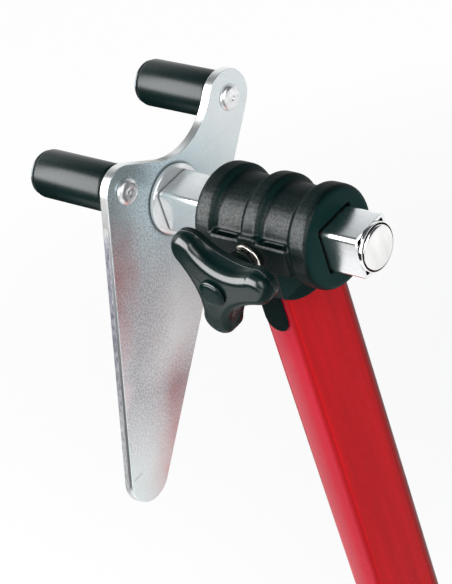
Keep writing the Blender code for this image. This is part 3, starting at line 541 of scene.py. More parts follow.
def zinc_face(colours):
    """Plate face: dull and speckled in the middle, pale at the arm and the tail, green below the hub, mirror-like
    in patches along the edges, a blue tint, a ring of painted shade round the flange, and hair scratches."""
    material, tree, surface = shader("zinc_face", {})
    spot = split(tree, place(tree))
    across = spot[1]
    up = maths(tree, "SUBTRACT", spot[2], AXIS_HEIGHT)
    aside = maths(tree, "SUBTRACT", times(tree, across, TAIL_LEAN[0]), times(tree, up, TAIL_LEAN[1]))
    clouds = mottle(tree, 42.0, 0.22, 3.0)
    ragged = maths(tree, "ADD", aside, between(tree, clouds, 0.0, 1.0, -RAGGED, RAGGED))
    left = between(tree, ragged, *LEFT_MIRROR)
    lower = between(tree, up, *LOWER_HALF)
    right = times(tree, between(tree, ragged, *RIGHT_MIRROR), lower)
    speckle = mottle(tree, 950.0, 0.13, 3.0)
    mirror = times(tree, most(tree, left, right), between(tree, speckle, 0.1, 0.8, 1.0, 0.45))
    feed(tree, between(tree, mirror, 0.0, 1.0, 0.12, 1.0), surface.inputs["Metallic"])
    tail = between(tree, maths(tree, "ADD", up, times(tree, aside, 0.5)), *TAIL_END)
    inner = times(tree, between(tree, ragged, *INNER_SIDE), maths(tree, "SUBTRACT", 1.0, lower))
    low_left = times(tree, left, between(tree, up, *LOWER_LEFT))
    pale = most(tree, between(tree, across, *ARM_SIDE), inner, tail, low_left)
    tone = blend(tree, pale, colours.zinc_dark, colours.zinc_light)
    below = times(tree, most(tree, inner, tail), between(tree, up, *BELOW_HUB))
    tone = blend(tree, below, tone, colours.zinc_green)
    hub = maths(tree, "SQRT", maths(tree, "ADD", times(tree, across, across), times(tree, up, up)))
    stains = between(tree, mottle(tree, 90.0, 0.25), 0.0, 1.0, 0.45, 1.0)
    tone = blend(tree, times(tree, between(tree, hub, *NEAR_HUB), stains), tone, colours.zinc_blue)
    dots = times(tree, speckle, between(tree, pale, 0.0, 0.9, 0.70, 0.10))
    tone = blend(tree, dots, tone, shade(colours.zinc_dark, 0.30))
    hairs = effect(
        tree, "Stand scratches", Scale=40.0, Width=0.005, Turn=(0.6, 0.0, 0.0), Stretch=(1.0, 0.1, 1.0))
    tone = blend(tree, times(tree, hairs, 0.6), tone, shade(colours.zinc_dark, 0.35))
    # Painted shade in the seam round the flange
    tone = blend(tree, between(tree, hub, *HUB_SEAM), tone, HUB_SEAM_SHADE)
    paint_with(tree, surface, tone)
    roughen(tree, surface, mottle(tree, 60.0, 0.2), 0.28, 0.42)
    waves = mottle(tree, 32.0, 0.5, 1.0)
    bump(tree, surface, maths(tree, "ADD", waves, times(tree, speckle, 0.02)), 1.0, 0.0010)
    return material


# Plate's sheared edge: metres above the bar's axis and behind the face, and its tones
DRESSED_CORNER = (0.006, 0.014)
LOW_EDGE = (-0.05, -0.10)
BURNISHED = (0.0026, 0.0018)
TORN_DEPTH = 0.0006
TORN_DARK = ((0.13, 0.13, 0.17), (0.46, 0.46, 0.51))
TORN_PALE = ((0.40, 0.42, 0.43), (0.78, 0.79, 0.80))
BURNISHED_TONE = (0.78, 0.80, 0.82)
DRESSED_TONE = (0.90, 0.90, 0.89)


def zinc_shear(colours):
    """Sheared edge of the plate: burnished next to the face, torn and dark behind, paler low down, and smooth at
    the dressed corner."""
    material, tree, surface = shader("zinc_shear", {"Metallic": 1.0})
    spot = split(tree, place(tree))
    up = maths(tree, "SUBTRACT", spot[2], AXIS_HEIGHT)
    dressed_corner = between(tree, up, *DRESSED_CORNER)
    torn = mottle(tree, 520.0, 0.2, 4.0, (1.0, 0.5, 0.5))
    depth = maths(tree, "ADD", spot[0], between(tree, torn, 0.0, 1.0, -TORN_DEPTH, TORN_DEPTH))
    burnished = between(tree, depth, *[PLATE_HIGH.x - behind for behind in BURNISHED])
    edge = blend(tree, between(tree, up, *LOW_EDGE), blend(tree, torn, *TORN_DARK), blend(tree, torn, *TORN_PALE))
    edge = blend(tree, burnished, edge, BURNISHED_TONE)
    paint_with(tree, surface, blend(tree, dressed_corner, edge, DRESSED_TONE))
    smooth = most(tree, dressed_corner, burnished)
    roughen(tree, surface, smooth, 0.48, 0.30)
    bump(tree, surface, times(tree, torn, maths(tree, "SUBTRACT", 1.0, smooth)), 0.4, 0.0003)
    return material


# Bar and flange, in metres along the bar; painted shade lies in the seams, measured from the plate's face and the
# bar's end
METAL_ALONG_BAR = (-0.02, 0.02)
FLANGE_SEAM = (0.0003, 0.0008)
BAR_SEAM = (0.0004, 0.0008)
BAR_END = (-0.0003, -0.0002)
JOINT_SHADE = (0.04, 0.06, 0.07)


def zinc_plate(colours, name="zinc_plate", tone=1.2, rough=(0.20, 0.28), lay=(0.03, 1.0, 1.0), metal_share=0.87):
    """Bright zinc plate with drawing or turning lines and faint cloudy stains. It is duller towards the head
    plate, and has painted shade where flange and bar meet what they stand on."""
    material, tree, surface = shader(name, {})
    along = split(tree, place(tree))[0]
    feed(tree, between(tree, along, *METAL_ALONG_BAR, metal_share, 1.0), surface.inputs["Metallic"])
    metal = toned(tree, mottle(tree, 70.0, 0.22), colours.zinc, 0.88 * tone, 1.1 * tone)
    specks = mottle(tree, 1500.0, 0.12, 2.0)
    metal = blend(tree, times(tree, specks, 0.18), metal, shade(colours.zinc_dark, 0.7))
    seam = between(tree, along, *[PLATE_HIGH.x + reach for reach in FLANGE_SEAM], 0.9, 0.0)
    foot = times(tree, between(tree, along, *[BAR_LOW.x + reach for reach in BAR_SEAM], 0.8, 0.0),
                 between(tree, along, *[BAR_LOW.x + reach for reach in BAR_END]))
    # Painted shade in the seams where flange and bar meet what they stand on
    paint_with(tree, surface, blend(tree, most(tree, seam, foot), metal, JOINT_SHADE))
    lines = mottle(tree, 1100.0, 0.25, 2.0, lay)
    roughen(tree, surface, lines, *rough)
    bump(tree, surface, lines, 0.02, 0.00003)
    return material


def flange_polish(colours):
    return zinc_plate(colours, "flange_polish", 1.08, (0.16, 0.24), (1.0, 0.5, 0.5), 0.55)


def stained(name, base, tones, stains, rough, relief, marks=None, dull_marks=False, **values):
    """One material in two tones by its stains; fine marks, where it has them, stand out and can be dull. Stains
    and marks are given as a mottle's values, relief as a bump's."""
    material, tree, surface = shader(name, {"Metallic": 1.0, **values})
    stain = mottle(tree, *stains)
    mark = mottle(tree, *marks) if marks else stain
    paint_with(tree, surface, toned(tree, stain, base, *tones))
    roughen(tree, surface, mark if dull_marks else stain, *rough)
    bump(tree, surface, mark, *relief)
    return material


def rivet_steel(colours):
    """Hammered rivet heads."""
    return stained("rivet_steel", colours.zinc, (0.8, 1.22), (320.0, 0.2), (0.42, 0.28), (0.25, 0.0002),
                   (650.0, 0.3, 2.0))


def chrome(colours):
    """Polished cap with faint smears."""
    return stained("cap_chrome", colours.chrome, (0.96, 1.2), (120.0, 0.2, 3.0, (1.0, 1.0, 0.4)), (0.07, 0.16),
                   (0.03, 0.00004), (900.0, 0.3, 2.0))


def spring_wire(colours):
    """Bright drawn wire."""
    return stained("spring_wire", colours.spring, (0.85, 1.15), (800.0, 0.2, 2.0), (0.18, 0.30), (0.08, 0.00005))


def raw_steel(colours):
    """Machined steel with tool marks and stains."""
    return stained("raw_steel", colours.steel, (0.78, 1.2), (160.0, 0.2), (0.28, 0.42), (0.12, 0.00006),
                   (900.0, 0.25, 2.0), True)


def bearing_bronze(colours):
    """Machined bronze with tool marks and stains."""
    return stained("bearing_bronze", colours.bronze, (0.78, 1.2), (160.0, 0.2), (0.36, 0.55), (0.12, 0.00006),
                   (900.0, 0.25, 2.0), True)


def washer_nylon(colours):
    """Natural nylon, slightly soiled."""
    return stained("washer_nylon", colours.nylon, (0.75, 1.0), (240.0, 0.2), (0.5, 0.38), (0.1, 0.00005), (900.0,),
                   **{"Metallic": 0.0, "Specular IOR Level": 0.5})


def groove_shade_finish(colours):
    """Painted shade in the cap's groove: a dark colour where the groove lies in shadow."""
    return stained("groove_painted_shade", (0.035, 0.032, 0.028), (0.286, 1.0), (700.0, 0.2), (0.5, 0.75), (0.3, 0.0001),
                   **{"Metallic": 0.0, "Specular IOR Level": 0.2})


POLISHED_TOWARDS = (0.12, -0.77, 0.63)
END_FACES_PAINTED_LIGHT = (0.6, 0.98)
GREY_DUST = (0.16, 0.16, 0.155)


def moulded_black(name, base, rough, grain, relief, gloss, dusty=0.01, lay=EVEN, sheen=None, end_painted_light=0.0):
    """Black moulding with a fine grain, faint flow marks and a little dust. The sheen, where it has one, lies on
    the faces that hands and cloths rub, in front and above: where it starts and is full, its least weight in the
    grain, roughness and strength. The end faces towards the bar's cap can have painted light: a lighter tone."""
    material, tree, surface = shader(name, {"Specular IOR Level": gloss})
    plastic = toned(tree, mottle(tree, 55.0, 0.2), base, 0.8, 1.25)
    if end_painted_light:
        # Painted light: faces turned along the bar, towards its cap, are painted in a lighter tone
        ends = between(tree, split(tree, facing(tree))[0], *END_FACES_PAINTED_LIGHT)
        plastic = blend(tree, ends, plastic, shade(base, end_painted_light))
    dust = effect(tree, "Stand dust", Amount=dusty)
    paint_with(tree, surface, blend(tree, dust, plastic, GREY_DUST))
    texture = mottle(tree, grain, 0.25, 2.0, lay)
    roughen(tree, surface, texture, *rough)
    bump(tree, surface, texture, relief, 0.0001)
    if sheen:
        start, full, least, dullness, strength = sheen
        glossy = between(tree, towards(tree, facing(tree), POLISHED_TOWARDS), start, full)
        worn = between(tree, texture, 0.0, 1.0, least, 1.0)
        feed(tree, times(tree, glossy, worn), surface.inputs["Coat Weight"])
        surface.inputs["Coat Roughness"].default_value = dullness
        surface.inputs["Coat IOR"].default_value = strength
    return material


def collar_plastic(colours):
    return moulded_black("collar_plastic", colours.collar, (0.40, 0.52), 900.0, 0.5, 0.05,
                         sheen=(0.66, 0.90, 0.25, 0.36, 1.6), end_painted_light=4.2)


def neck_plastic(colours):
    return moulded_black("neck_plastic", colours.collar, (0.42, 0.52), 900.0, 0.3, 0.03, end_painted_light=2.6)


def knob_plastic(colours):
    return moulded_black("knob_plastic", colours.knob, (0.22, 0.30), 700.0, 0.03, 0.07,
                         sheen=(0.70, 0.84, 0.9, 0.22, 1.9))


def button_plastic(colours):
    return moulded_black("button_plastic", colours.knob, (0.22, 0.30), 700.0, 0.03, 0.12,
                         sheen=(0.78, 0.95, 0.9, 0.20, 1.75))


def roller_plastic(colours):
    return moulded_black("roller_plastic", colours.roller, (0.26, 0.32), 1300.0, 0.03, 0.20, lay=(1.0, 0.06, 0.06),
                         sheen=(0.64, 0.97, 0.93, 0.30, 1.46))


def rubber(colours):
    return moulded_black("base_rubber", colours.rubber, (0.75, 0.9), 800.0, 0.5, 0.3, 0.2)


MADE_FINISHES = {}


def finish(maker):
    """Material of a finish, made once."""
    if maker not in MADE_FINISHES:
        MADE_FINISHES[maker] = maker(bpy.context.scene.stand_colours)
    return MADE_FINISHES[maker]


# Pieces

POST_CORNER = 0.003
POST_POINTS = 240


def post_section(reach, count):
    """Post's outline grown by a reach: a flat front with small corners and a round back."""
    half = POST_HIGH.x + reach
    corner = POST_CORNER + reach
    front = POST_LOW.y - reach + corner
    back = POST_HIGH.y - POST_HIGH.x
    circles = [(Vector((half - corner, front)), corner), (Vector((0.0, back)), half),
               (Vector((corner - half, front)), corner)]
    return evenly(belt(circles, 24), count)


def post_tube(shapes):
    """Tube with a flat front and a round back, whose wide faces bulge a little, as drawn tube does."""
    start = POST_LOW.y + POST_CORNER
    end = POST_HIGH.y - POST_HIGH.x
    outline = []
    for spot in post_section(0.0, POST_POINTS):
        along = (2 * spot.y - start - end) / (end - start)
        bulge = shapes.tube_bulge * max(0.0, 1.0 - along ** 2)
        outline.append(Vector((spot.x + math.copysign(bulge, spot.x), spot.y)))
    rings = [[Vector((spot.x, spot.y, height)) for spot in outline] for height in (POST_LOW.z, POST_HIGH.z)]
    new_piece("post_tube", skin(rings, False), [finish(red_coat)], ["post"])


WELD_GAP = 0.0003
WELD_FACE = 0.42        # how far the bead's face stands out of the corner, as a share of its leg
WELD_POINTS = 220
WELD_LEAN = 0.6         # how far a ripple trails from top to toe, as a share of its length
WELD_UNEVEN = 0.21


def weld_bead(shapes):
    """Weld bead round the post's foot: a fillet with the ripples of a hand-run torch."""
    leg = WELD_HIGH.x - POST_HIGH.x - WELD_GAP
    face = arc((0.0, 1.0), (1.0, 0.0), (WELD_FACE, WELD_FACE), 6)
    rings = []
    for out, height in face + [(0.5, 0.0), (0.0, 0.0), (0.0, 0.5)]:
        line = post_section(WELD_GAP + leg * out, WELD_POINTS)
        perimeter = sum((line[index] - line[index - 1]).length for index in range(WELD_POINTS))
        ripples = round(perimeter / shapes.weld_step)
        ring = []
        for index, spot in enumerate(line):
            wave = (index / WELD_POINTS * ripples + WELD_LEAN * out) % 1.0
            crest = shapes.weld_ripple * (0.5 + 0.5 * noise.noise(Vector((index * WELD_UNEVEN, 0.0, 0.0))))
            sink = crest * math.sin(math.pi * wave) * 4 * out * height
            lift = leg * height - sink if height else 0.0
            ring.append(Vector((spot.x, spot.y, WELD_LOW.z + max(0.0, lift))))
        rings.append(ring)
    new_piece("foot_weld_bead", skin(rings, True), [finish(red_coat)], ["foot_weld"], crease=60.0)


NECK_TOP = 0.026        # below the bar's axis


def collar_moulding(shapes):
    """Collar with the soft inside and outside corners of a moulding."""
    blank = link(bpy.data.objects.new("collar_blank", new_mesh("collar_rough", cad_copy("collar"))))
    remesh = blank.modifiers.new("moulding", "REMESH")
    remesh.mode = "VOXEL"
    remesh.voxel_size = shapes.collar_detail
    soften = blank.modifiers.new("soft corners", "SMOOTH")
    soften.factor = 0.5
    soften.iterations = 4
    solved = blank.evaluated_get(bpy.context.evaluated_depsgraph_get())
    bm = bmesh.new()
    bm.from_mesh(solved.data)
    bpy.data.objects.remove(blank)
    for side in bm.faces:
        side.material_index = int(side.calc_center_median().z < AXIS_HEIGHT - NECK_TOP)
    new_piece("collar_moulding", bm, [finish(collar_plastic), finish(neck_plastic)], ["collar"], SMOOTH)


KNOB_LOBES = 3
KNOB_TURN = 10.0
LOBE_RADIUS = 0.009
LOBE_REACH = 0.0247
KNOB_WAIST = 0.0145
KNOB_TIP = LOBE_RADIUS + LOBE_REACH
KNOB_CROWN = 0.0030
KNOB_RISE = 0.0032
KNOB_FRONT_ROUND = 0.0046
KNOB_BACK_ROUND = 0.0014
KNOB_PARTING = 0.0040
KNOB_SEAM = 0.0001
KNOB_BORE = 0.0043
HUB_LENGTH = 0.009
HUB_TIP = 0.0075
HUB_ROOT = 0.00975
HUB_EDGE = 0.0006
HUB_FILLET = 0.0008


def star(inset):
    """Knob's outline, drawn in by an inset; each hollow touches both lobes beside it."""
    half_step = math.pi / KNOB_LOBES
    rise = KNOB_WAIST - LOBE_RADIUS
    hollow_reach = (LOBE_REACH ** 2 - rise ** 2) / (2 * (LOBE_REACH * math.cos(half_step) - rise))
    circles = []
    for index in range(KNOB_LOBES):
        angle = KNOB_TURN + 360 / KNOB_LOBES * index
        circles.append((polar(LOBE_REACH, angle), LOBE_RADIUS - inset))
        circles.append((polar(hollow_reach, angle + 180 / KNOB_LOBES), KNOB_WAIST - hollow_reach - inset))
    return belt(circles, 40)


def knob_rings():
    """Rings of the knob from the hub's face round the lobes to the bore in front."""
    face = -KNOB_HIGH.y
    root = face + HUB_LENGTH
    front = -KNOB_LOW.y
    bearings = [math.degrees(math.atan2(spot.y, spot.x)) for spot in star(0.0)]

    def circle(radius, depth):
        return [(polar(radius, bearing), depth) for bearing in bearings]

    def back(share):
        return root + KNOB_RISE * share

    def crown(share):
        return front - KNOB_CROWN * share

    def lobes(inset, shrink, level, lift=0.0):
        return [(spot * shrink, level((spot.length * shrink / KNOB_TIP) ** 2) + lift) for spot in star(inset)]

    rings = [circle(KNOB_BORE, face), circle(HUB_TIP - HUB_EDGE, face), circle(HUB_TIP, face + HUB_EDGE),
             circle((HUB_TIP + HUB_ROOT) / 2, (face + root) / 2), circle(HUB_ROOT, root - HUB_FILLET),
             circle(HUB_ROOT + HUB_FILLET, root)]
    for step in range(5):
        angle = math.pi / 2 * step / 4
        inset = KNOB_SEAM + KNOB_BACK_ROUND * (1 - math.sin(angle))
        rings.append(lobes(inset, 1.0, back, KNOB_BACK_ROUND * (1 - math.cos(angle))))
    for inset, lift in ((KNOB_SEAM, -KNOB_SEAM), (0.0, 0.0), (KNOB_SEAM, KNOB_SEAM)):
        rings.append(lobes(inset, 1.0, back, KNOB_PARTING + lift))
    for step in range(10):
        angle = math.pi / 2 * step / 9
        inset = KNOB_SEAM + KNOB_FRONT_ROUND * (1 - math.cos(angle))
        rings.append(lobes(inset, 1.0, crown, -KNOB_FRONT_ROUND * (1 - math.sin(angle))))
    for shrink in (0.93, 0.8, 0.65):
        rings.append(lobes(KNOB_SEAM + KNOB_FRONT_ROUND, shrink, crown))
    rings.append(circle(KNOB_BORE, front))
    return [[Vector((spot.x, -depth, spot.y + AXIS_HEIGHT)) for spot, depth in ring] for ring in rings]


def knob_star():
    new_piece("clamp_knob_star", skin(knob_rings(), True), [finish(knob_plastic)], ["clamp_knob"], crease=50.0)


BUTTON_HEIGHT = 0.0024
BUTTON_DOME = 0.0005
BUTTON_ROUND = 0.0013
BUTTON_SHOULDER = 0.0018
BUTTON_EDGE = 0.0003
BUTTON_STEM = 0.004
BUTTON_STEP = 0.0001


def knob_cap():
    """Snap-in cap with a shallow dome and a rounded rim."""
    top = -KNOB_CAP_LOW.y
    foot = top - BUTTON_HEIGHT
    stem = -KNOB_CAP_HIGH.y
    outer = (KNOB_CAP_HIGH.x - KNOB_CAP_LOW.x) / 2
    dome = outer - BUTTON_ROUND - BUTTON_STEP
    rim = top - BUTTON_DOME - BUTTON_STEP
    profile = arc((0.0, top), (dome, top - BUTTON_DOME), (dome, top), 5)
    profile += arc((outer - BUTTON_ROUND, rim), (outer, top - BUTTON_SHOULDER), (outer, rim), 6)
    profile += [(outer, foot + BUTTON_EDGE), (outer - BUTTON_EDGE, foot), (BUTTON_STEM, foot), (BUTTON_STEM, stem),
                (0.0, stem)]
    bm = turned(profile, BAR_AXIS, TO_KNOB, 64)
    new_piece("knob_cap_button", bm, [finish(button_plastic)], ["knob_cap"], crease=40.0)


SPRING_WIRE = 0.0012
SPRING_START = 125.0
SPRING_SWEEP = 330.0
SPRING_EDGE = 0.00015
SPRING_STEPS = 96
SPRING_SIDES = 16


def spring_ring():
    """Split ring of round wire, cut square at both ends."""
    middle = (SPRING_HIGH.x - SPRING_LOW.x) / 2 - SPRING_WIRE
    foot = -SPRING_HIGH.y + SPRING_WIRE
    climb = (SPRING_HIGH.y - SPRING_LOW.y) - 2 * SPRING_WIRE
    angles = [2 * math.pi * side / SPRING_SIDES for side in range(SPRING_SIDES)]
    rings = []
    for step in range(SPRING_STEPS + 1):
        share = step / SPRING_STEPS
        out = polar(1.0, SPRING_START - SPRING_SWEEP * share)
        radial = Vector((out.x, 0.0, out.y))
        centre = BAR_AXIS + radial * middle + TO_KNOB * (foot + climb * share)
        rings.append([centre + (radial * math.cos(angle) + TO_KNOB * math.sin(angle)) * SPRING_WIRE
                      for angle in angles])
    ring = new_piece("spring_ring", skin(rings, False), [finish(spring_wire)], ["spring_washer"], SMOOTH)
    round_edges(ring, SPRING_EDGE)


CAP_GAP = 0.0003
CAP_RIM_HEIGHT = 0.0018
CAP_RIM_WIDTH = 0.0006
CAP_RIM_ROUND = 0.0003
CAP_GROOVE_INSIDE = 0.0014      # from the rim's outside
CAP_EDGE = 0.0002
CAP_PLUG = 0.009
HAIR = 0.0001


def end_cap(shapes):
    """Domed cap with a thin rim, a groove inside it with painted shade, and a plug in the bar."""
    rim = CAP_HIGH.y
    seat = BAR_HIGH.x + CAP_GAP
    crown = CAP_HIGH.x
    ledge = seat + CAP_RIM_HEIGHT
    lip = rim - CAP_RIM_WIDTH
    inner = rim - CAP_GROOVE_INSIDE
    foot = ledge - shapes.cap_groove
    profile = arc((0.0, crown), (inner, ledge + CAP_EDGE), (inner, crown), 14)
    profile += [(inner, foot), (lip, foot), (lip, ledge - CAP_EDGE)]
    profile += arc((lip + HAIR, ledge), (rim, ledge - CAP_RIM_ROUND), (rim, ledge), 3)
    profile += [(rim, seat + CAP_EDGE), (rim - CAP_EDGE, seat), (CAP_PLUG, seat), (CAP_PLUG, CAP_LOW.x),
                (0.0, CAP_LOW.x)]
    bm = turned(profile, BAR_AXIS, ALONG_BAR, 96)
    # The groove's faces get the painted shade finish
    for side in bm.faces:
        middle = side.calc_center_median() - BAR_AXIS
        reach = math.hypot(middle.y, middle.z)
        side.material_index = int(inner - 2 * HAIR < reach < lip + HAIR and foot - HAIR < middle.x < ledge)
    new_piece("bar_end_cap_dome", bm, [finish(chrome), finish(groove_shade_finish)], ["bar_end_cap"], crease=32.0)


LEFT_ROLLER = Vector((-0.0286, 0.0250))
RIGHT_ROLLER = Vector((0.0584, 0.0250))
LEFT_CORNER = 0.0140
RIGHT_CORNER = 0.0156
CRADLE_RADIUS = 0.0360
CRADLE_FLOOR = 0.0198
TAIL = Vector((-0.080, -0.130))
TAIL_RADIUS = 0.0143
SCREW_HOLE = 0.0083
AXLE_HOLE = 0.0053
HOLE_POINTS = 48
PLATE_INSET = 0.00004


def head_plate(shapes):
    """Side plate: a corner round each roller, a hollow between them, a long tail, and torn sheared edges."""
    height = CRADLE_FLOOR + CRADLE_RADIUS
    reach = math.sqrt((CRADLE_RADIUS + RIGHT_CORNER) ** 2 - (height - RIGHT_ROLLER.y) ** 2)
    hollow = Vector((RIGHT_ROLLER.x - reach, height))
    outline = belt([(TAIL, TAIL_RADIUS), (RIGHT_ROLLER, RIGHT_CORNER), (hollow, -CRADLE_RADIUS),
                    (LEFT_ROLLER, LEFT_CORNER)], 28)
    loops = [[spot - Vector([math.copysign(PLATE_INSET, part) for part in spot]) for spot in outline]]
    for centre, radius in ((Vector((0.0, 0.0)), SCREW_HOLE), (LEFT_ROLLER, AXLE_HOLE), (RIGHT_ROLLER, AXLE_HOLE)):
        loops.append([centre + polar(radius, 360 / HOLE_POINTS * step) for step in range(HOLE_POINTS)])
    bm = bmesh.new()
    for loop in loops:
        verts = [bm.verts.new((PLATE_LOW.x, spot.x, spot.y + AXIS_HEIGHT)) for spot in loop]
        for index in range(len(verts)):
            bm.edges.new((verts[index - 1], verts[index]))
    bmesh.ops.remove_doubles(bm, verts=bm.verts, dist=WELD_DISTANCE)
    face = bmesh.ops.triangle_fill(bm, edges=bm.edges, use_beauty=True)
    sheet = [item for item in face["geom"] if isinstance(item, bmesh.types.BMFace)]
    raised = bmesh.ops.extrude_face_region(bm, geom=sheet, use_keep_orig=True)
    moved = [item for item in raised["geom"] if isinstance(item, bmesh.types.BMVert)]
    bmesh.ops.translate(bm, verts=moved, vec=(PLATE_HIGH.x - PLATE_LOW.x, 0.0, 0.0))
    bmesh.ops.dissolve_limit(bm, angle_limit=math.radians(FLAT), verts=bm.verts, edges=bm.edges)
    bm.normal_update()
    for side in bm.faces:
        side.material_index = 0 if abs(side.normal.x) > 0.5 else 1
    plate = new_piece("side_plate_sheet", bm, [finish(zinc_face), finish(zinc_shear)], ["side_plate"], SMOOTH)
    round_edges(plate, shapes.plate_edge)


RIVET_GAP = 0.0003
RIVET_BRIM = 0.0004
RIVET_FLAT = 0.0008
AXLE_RADIUS = 0.005
UPSET_RADIUS = 0.0066
UPSET_END = 0.0040
UPSET_HEIGHT = 0.0020
UPSET_ROUND = 0.0014
DINT_SIZE = 420.0
DINT_DEPTH = 0.00012
DINT_SHARE = 0.02
HAMMERED = 0.0006
LEFT_PUNCH = (0.0026, 0.8)      # radius of the punch mark, and the nub left in it as a share of its depth
RIGHT_PUNCH = (0.0016, 0.1)


def rivet_axle(side, centre, dent_radius, nub, shapes):
    """Axle riveted in the plate: domed hammered head with a punch mark, and an upset tail behind the roller."""
    face = PLATE_HIGH.x + RIVET_GAP
    top, tail = PIN_HIGH.x, PIN_LOW.x
    head = (PIN_HIGH.y - PIN_LOW.y) / 2
    dent = shapes.rivet_dent
    profile = [(0.0, top - dent * (1 - nub)), (0.35 * dent_radius, top - dent), (0.7 * dent_radius, top - dent),
               (dent_radius, top - 0.15 * dent), (1.15 * dent_radius, top)]
    profile += arc((1.3 * dent_radius + RIVET_FLAT, top - HAIR), (head, face + RIVET_BRIM), (head, top), 8)
    profile += [(head, face), (AXLE_RADIUS, face), (AXLE_RADIUS, tail + UPSET_HEIGHT),
                (UPSET_RADIUS, tail + UPSET_HEIGHT)]
    profile += arc((UPSET_RADIUS, tail + UPSET_ROUND), (UPSET_END, tail), (UPSET_RADIUS, tail), 4)
    profile += [(0.0, tail)]
    origin = Vector((0.0, centre.x, centre.y + AXIS_HEIGHT))
    bm = turned(profile, origin, ALONG_BAR, 64)
    for vert in bm.verts:
        if vert.co.x > face + HAMMERED:
            out = Vector((0.0, vert.co.y - origin.y, vert.co.z - origin.z))
            dint = 0.5 + 0.5 * noise.noise(vert.co * DINT_SIZE)
            vert.co.x -= DINT_DEPTH * dint
            vert.co -= out * (DINT_SHARE * dint)
    new_piece(side + "_axle", bm, [finish(rivet_steel)], [side + "_pin"], crease=40.0)


# Studio

KEY_FROM = Vector((-0.393, -0.772, 0.5))
KEY_PANEL = (1.0, 1.5, 0.95)        # distance, width and height
FILL_FROM = Vector((0.85, -0.25, 0.45))
FILL_PANEL = (1.6, 1.4, 1.4)
LIGHT_AIM = Vector((-0.03, 0.0, AXIS_HEIGHT))


def softbox(name, direction, panel, strength):
    """Soft panel whose front shines at a given level."""
    distance, width, height = panel
    lamp = bpy.data.lights.new(name, "AREA")
    lamp.shape = "RECTANGLE"
    lamp.size = width
    lamp.size_y = height
    lamp.energy = math.pi * width * height * strength
    holder = link(bpy.data.objects.new(name, lamp))
    holder.location = LIGHT_AIM + direction.normalized() * distance
    holder.rotation_euler = direction.to_track_quat("Z", "Y").to_euler()


FLOOR_GLOW = (0.25, 0.80, 0.65, 0.97)       # by distance from the post: near and far, and the glow's share there


def floor_finish(studio):
    """Pale matt paper with a faint tooth. To the camera and to gloss it glows towards white, and it keeps the
    shadow."""
    material, tree, paper = shader("studio_floor", {"Roughness": 0.9, "Specular IOR Level": 0.1})
    shown = paper.outputs[0].links[0].to_socket
    paint_with(tree, paper, toned(tree, mottle(tree, 30.0, 0.3, 2.0), studio.floor, 0.985, 1.0))
    glow = add(tree, "ShaderNodeEmission", {"Color": (1.0, 1.0, 1.0, 1.0), "Strength": 1.0})
    path = add(tree, "ShaderNodeLightPath").outputs
    seen = most(tree, path["Is Camera Ray"], path["Is Glossy Ray"], path["Is Transmission Ray"])
    reach = add(tree, "ShaderNodeVectorMath", {0: place(tree)}, operation="LENGTH").outputs["Value"]
    share = times(tree, seen, between(tree, reach, *FLOOR_GLOW))
    both = add(tree, "ShaderNodeMixShader", {0: share, 1: paper.outputs[0], 2: glow.outputs[0]})
    feed(tree, both.outputs[0], shown)
    return material


ROOM_BEHIND = (-0.6, 0.8, 0.0)
ROOM_SWEEP = (0.35, 0.7)
ROOM_TOP = (0.45, 0.80, 1.0, 0.0)
ROOM_DIM = (0.08, 0.09, 0.10)
ROOM_WHITE = (0.95, 0.97, 0.98)


def studio_world(studio):
    """Dim room with a white sweep behind the stand, and white to the camera."""
    world = bpy.data.worlds.new("studio_room")
    world.use_nodes = True
    tree = world.node_tree
    tree.nodes.clear()
    look = add(tree, "ShaderNodeTexCoord").outputs["Generated"]
    sweep = times(tree, between(tree, towards(tree, look, ROOM_BEHIND), *ROOM_SWEEP),
                  between(tree, split(tree, look)[2], *ROOM_TOP))
    white = most(tree, sweep, add(tree, "ShaderNodeLightPath").outputs["Is Camera Ray"])
    tone = blend(tree, white, ROOM_DIM, ROOM_WHITE)
    room = add(tree, "ShaderNodeBackground", {"Strength": studio.sky, "Color": tone})
    add(tree, "ShaderNodeOutputWorld", {"Surface": room.outputs[0]})
    bpy.context.scene.world = world


def studio_camera():
    camera = bpy.data.cameras.new("photo_camera")
    camera.sensor_fit = "VERTICAL"
    camera.sensor_height = CAMERA_SENSOR
    camera.sensor_width = CAMERA_SENSOR
    camera.lens = CAMERA_LENS
    camera.clip_start = 0.01
    holder = link(bpy.data.objects.new("photo_camera", camera))
    turn = Matrix((CAMERA_RIGHT, CAMERA_UP, CAMERA_BACK)).transposed().to_4x4()
    holder.matrix_world = Matrix.Translation(CAMERA_PLACE) @ turn
    bpy.context.scene.camera = holder


FLOOR_SIZE = 15.0
FLOOR_GAP = 0.0002


def studio_floor(studio):
    bm = bmesh.new()
    bmesh.ops.create_grid(bm, x_segments=8, y_segments=8, size=FLOOR_SIZE)
    bmesh.ops.translate(bm, verts=bm.verts, vec=(0.0, 0.0, CAD_BOX[0].z - FLOOR_GAP))
    mesh = new_mesh("studio_floor", bm)
    mesh.materials.append(floor_finish(studio))
    ground = link(bpy.data.objects.new("studio_floor", mesh))


# Black card: corners by reach towards the knob's side, distance across and height
FLAG_TOWARDS = Vector((-0.62, -0.785, 0.0))
FLAG_ACROSS = Vector((0.785, -0.62, 0.0))
FLAG_SHEETS = (
    ((0.75, -1.8, 0.002), (0.75, 1.8, 0.002), (1.45, 1.8, 0.002), (1.45, -1.8, 0.002)),
    ((1.45, -1.8, 0.002), (1.45, 1.8, 0.002), (1.45, 1.8, 0.42), (1.45, -1.8, 0.42)),
    ((-0.15, -0.75, 0.002), (-0.15, -0.20, 0.002), (0.75, -0.20, 0.002), (0.75, -0.75, 0.002)),
)
FLAG_CLOTH = (0.012, 0.012, 0.012)


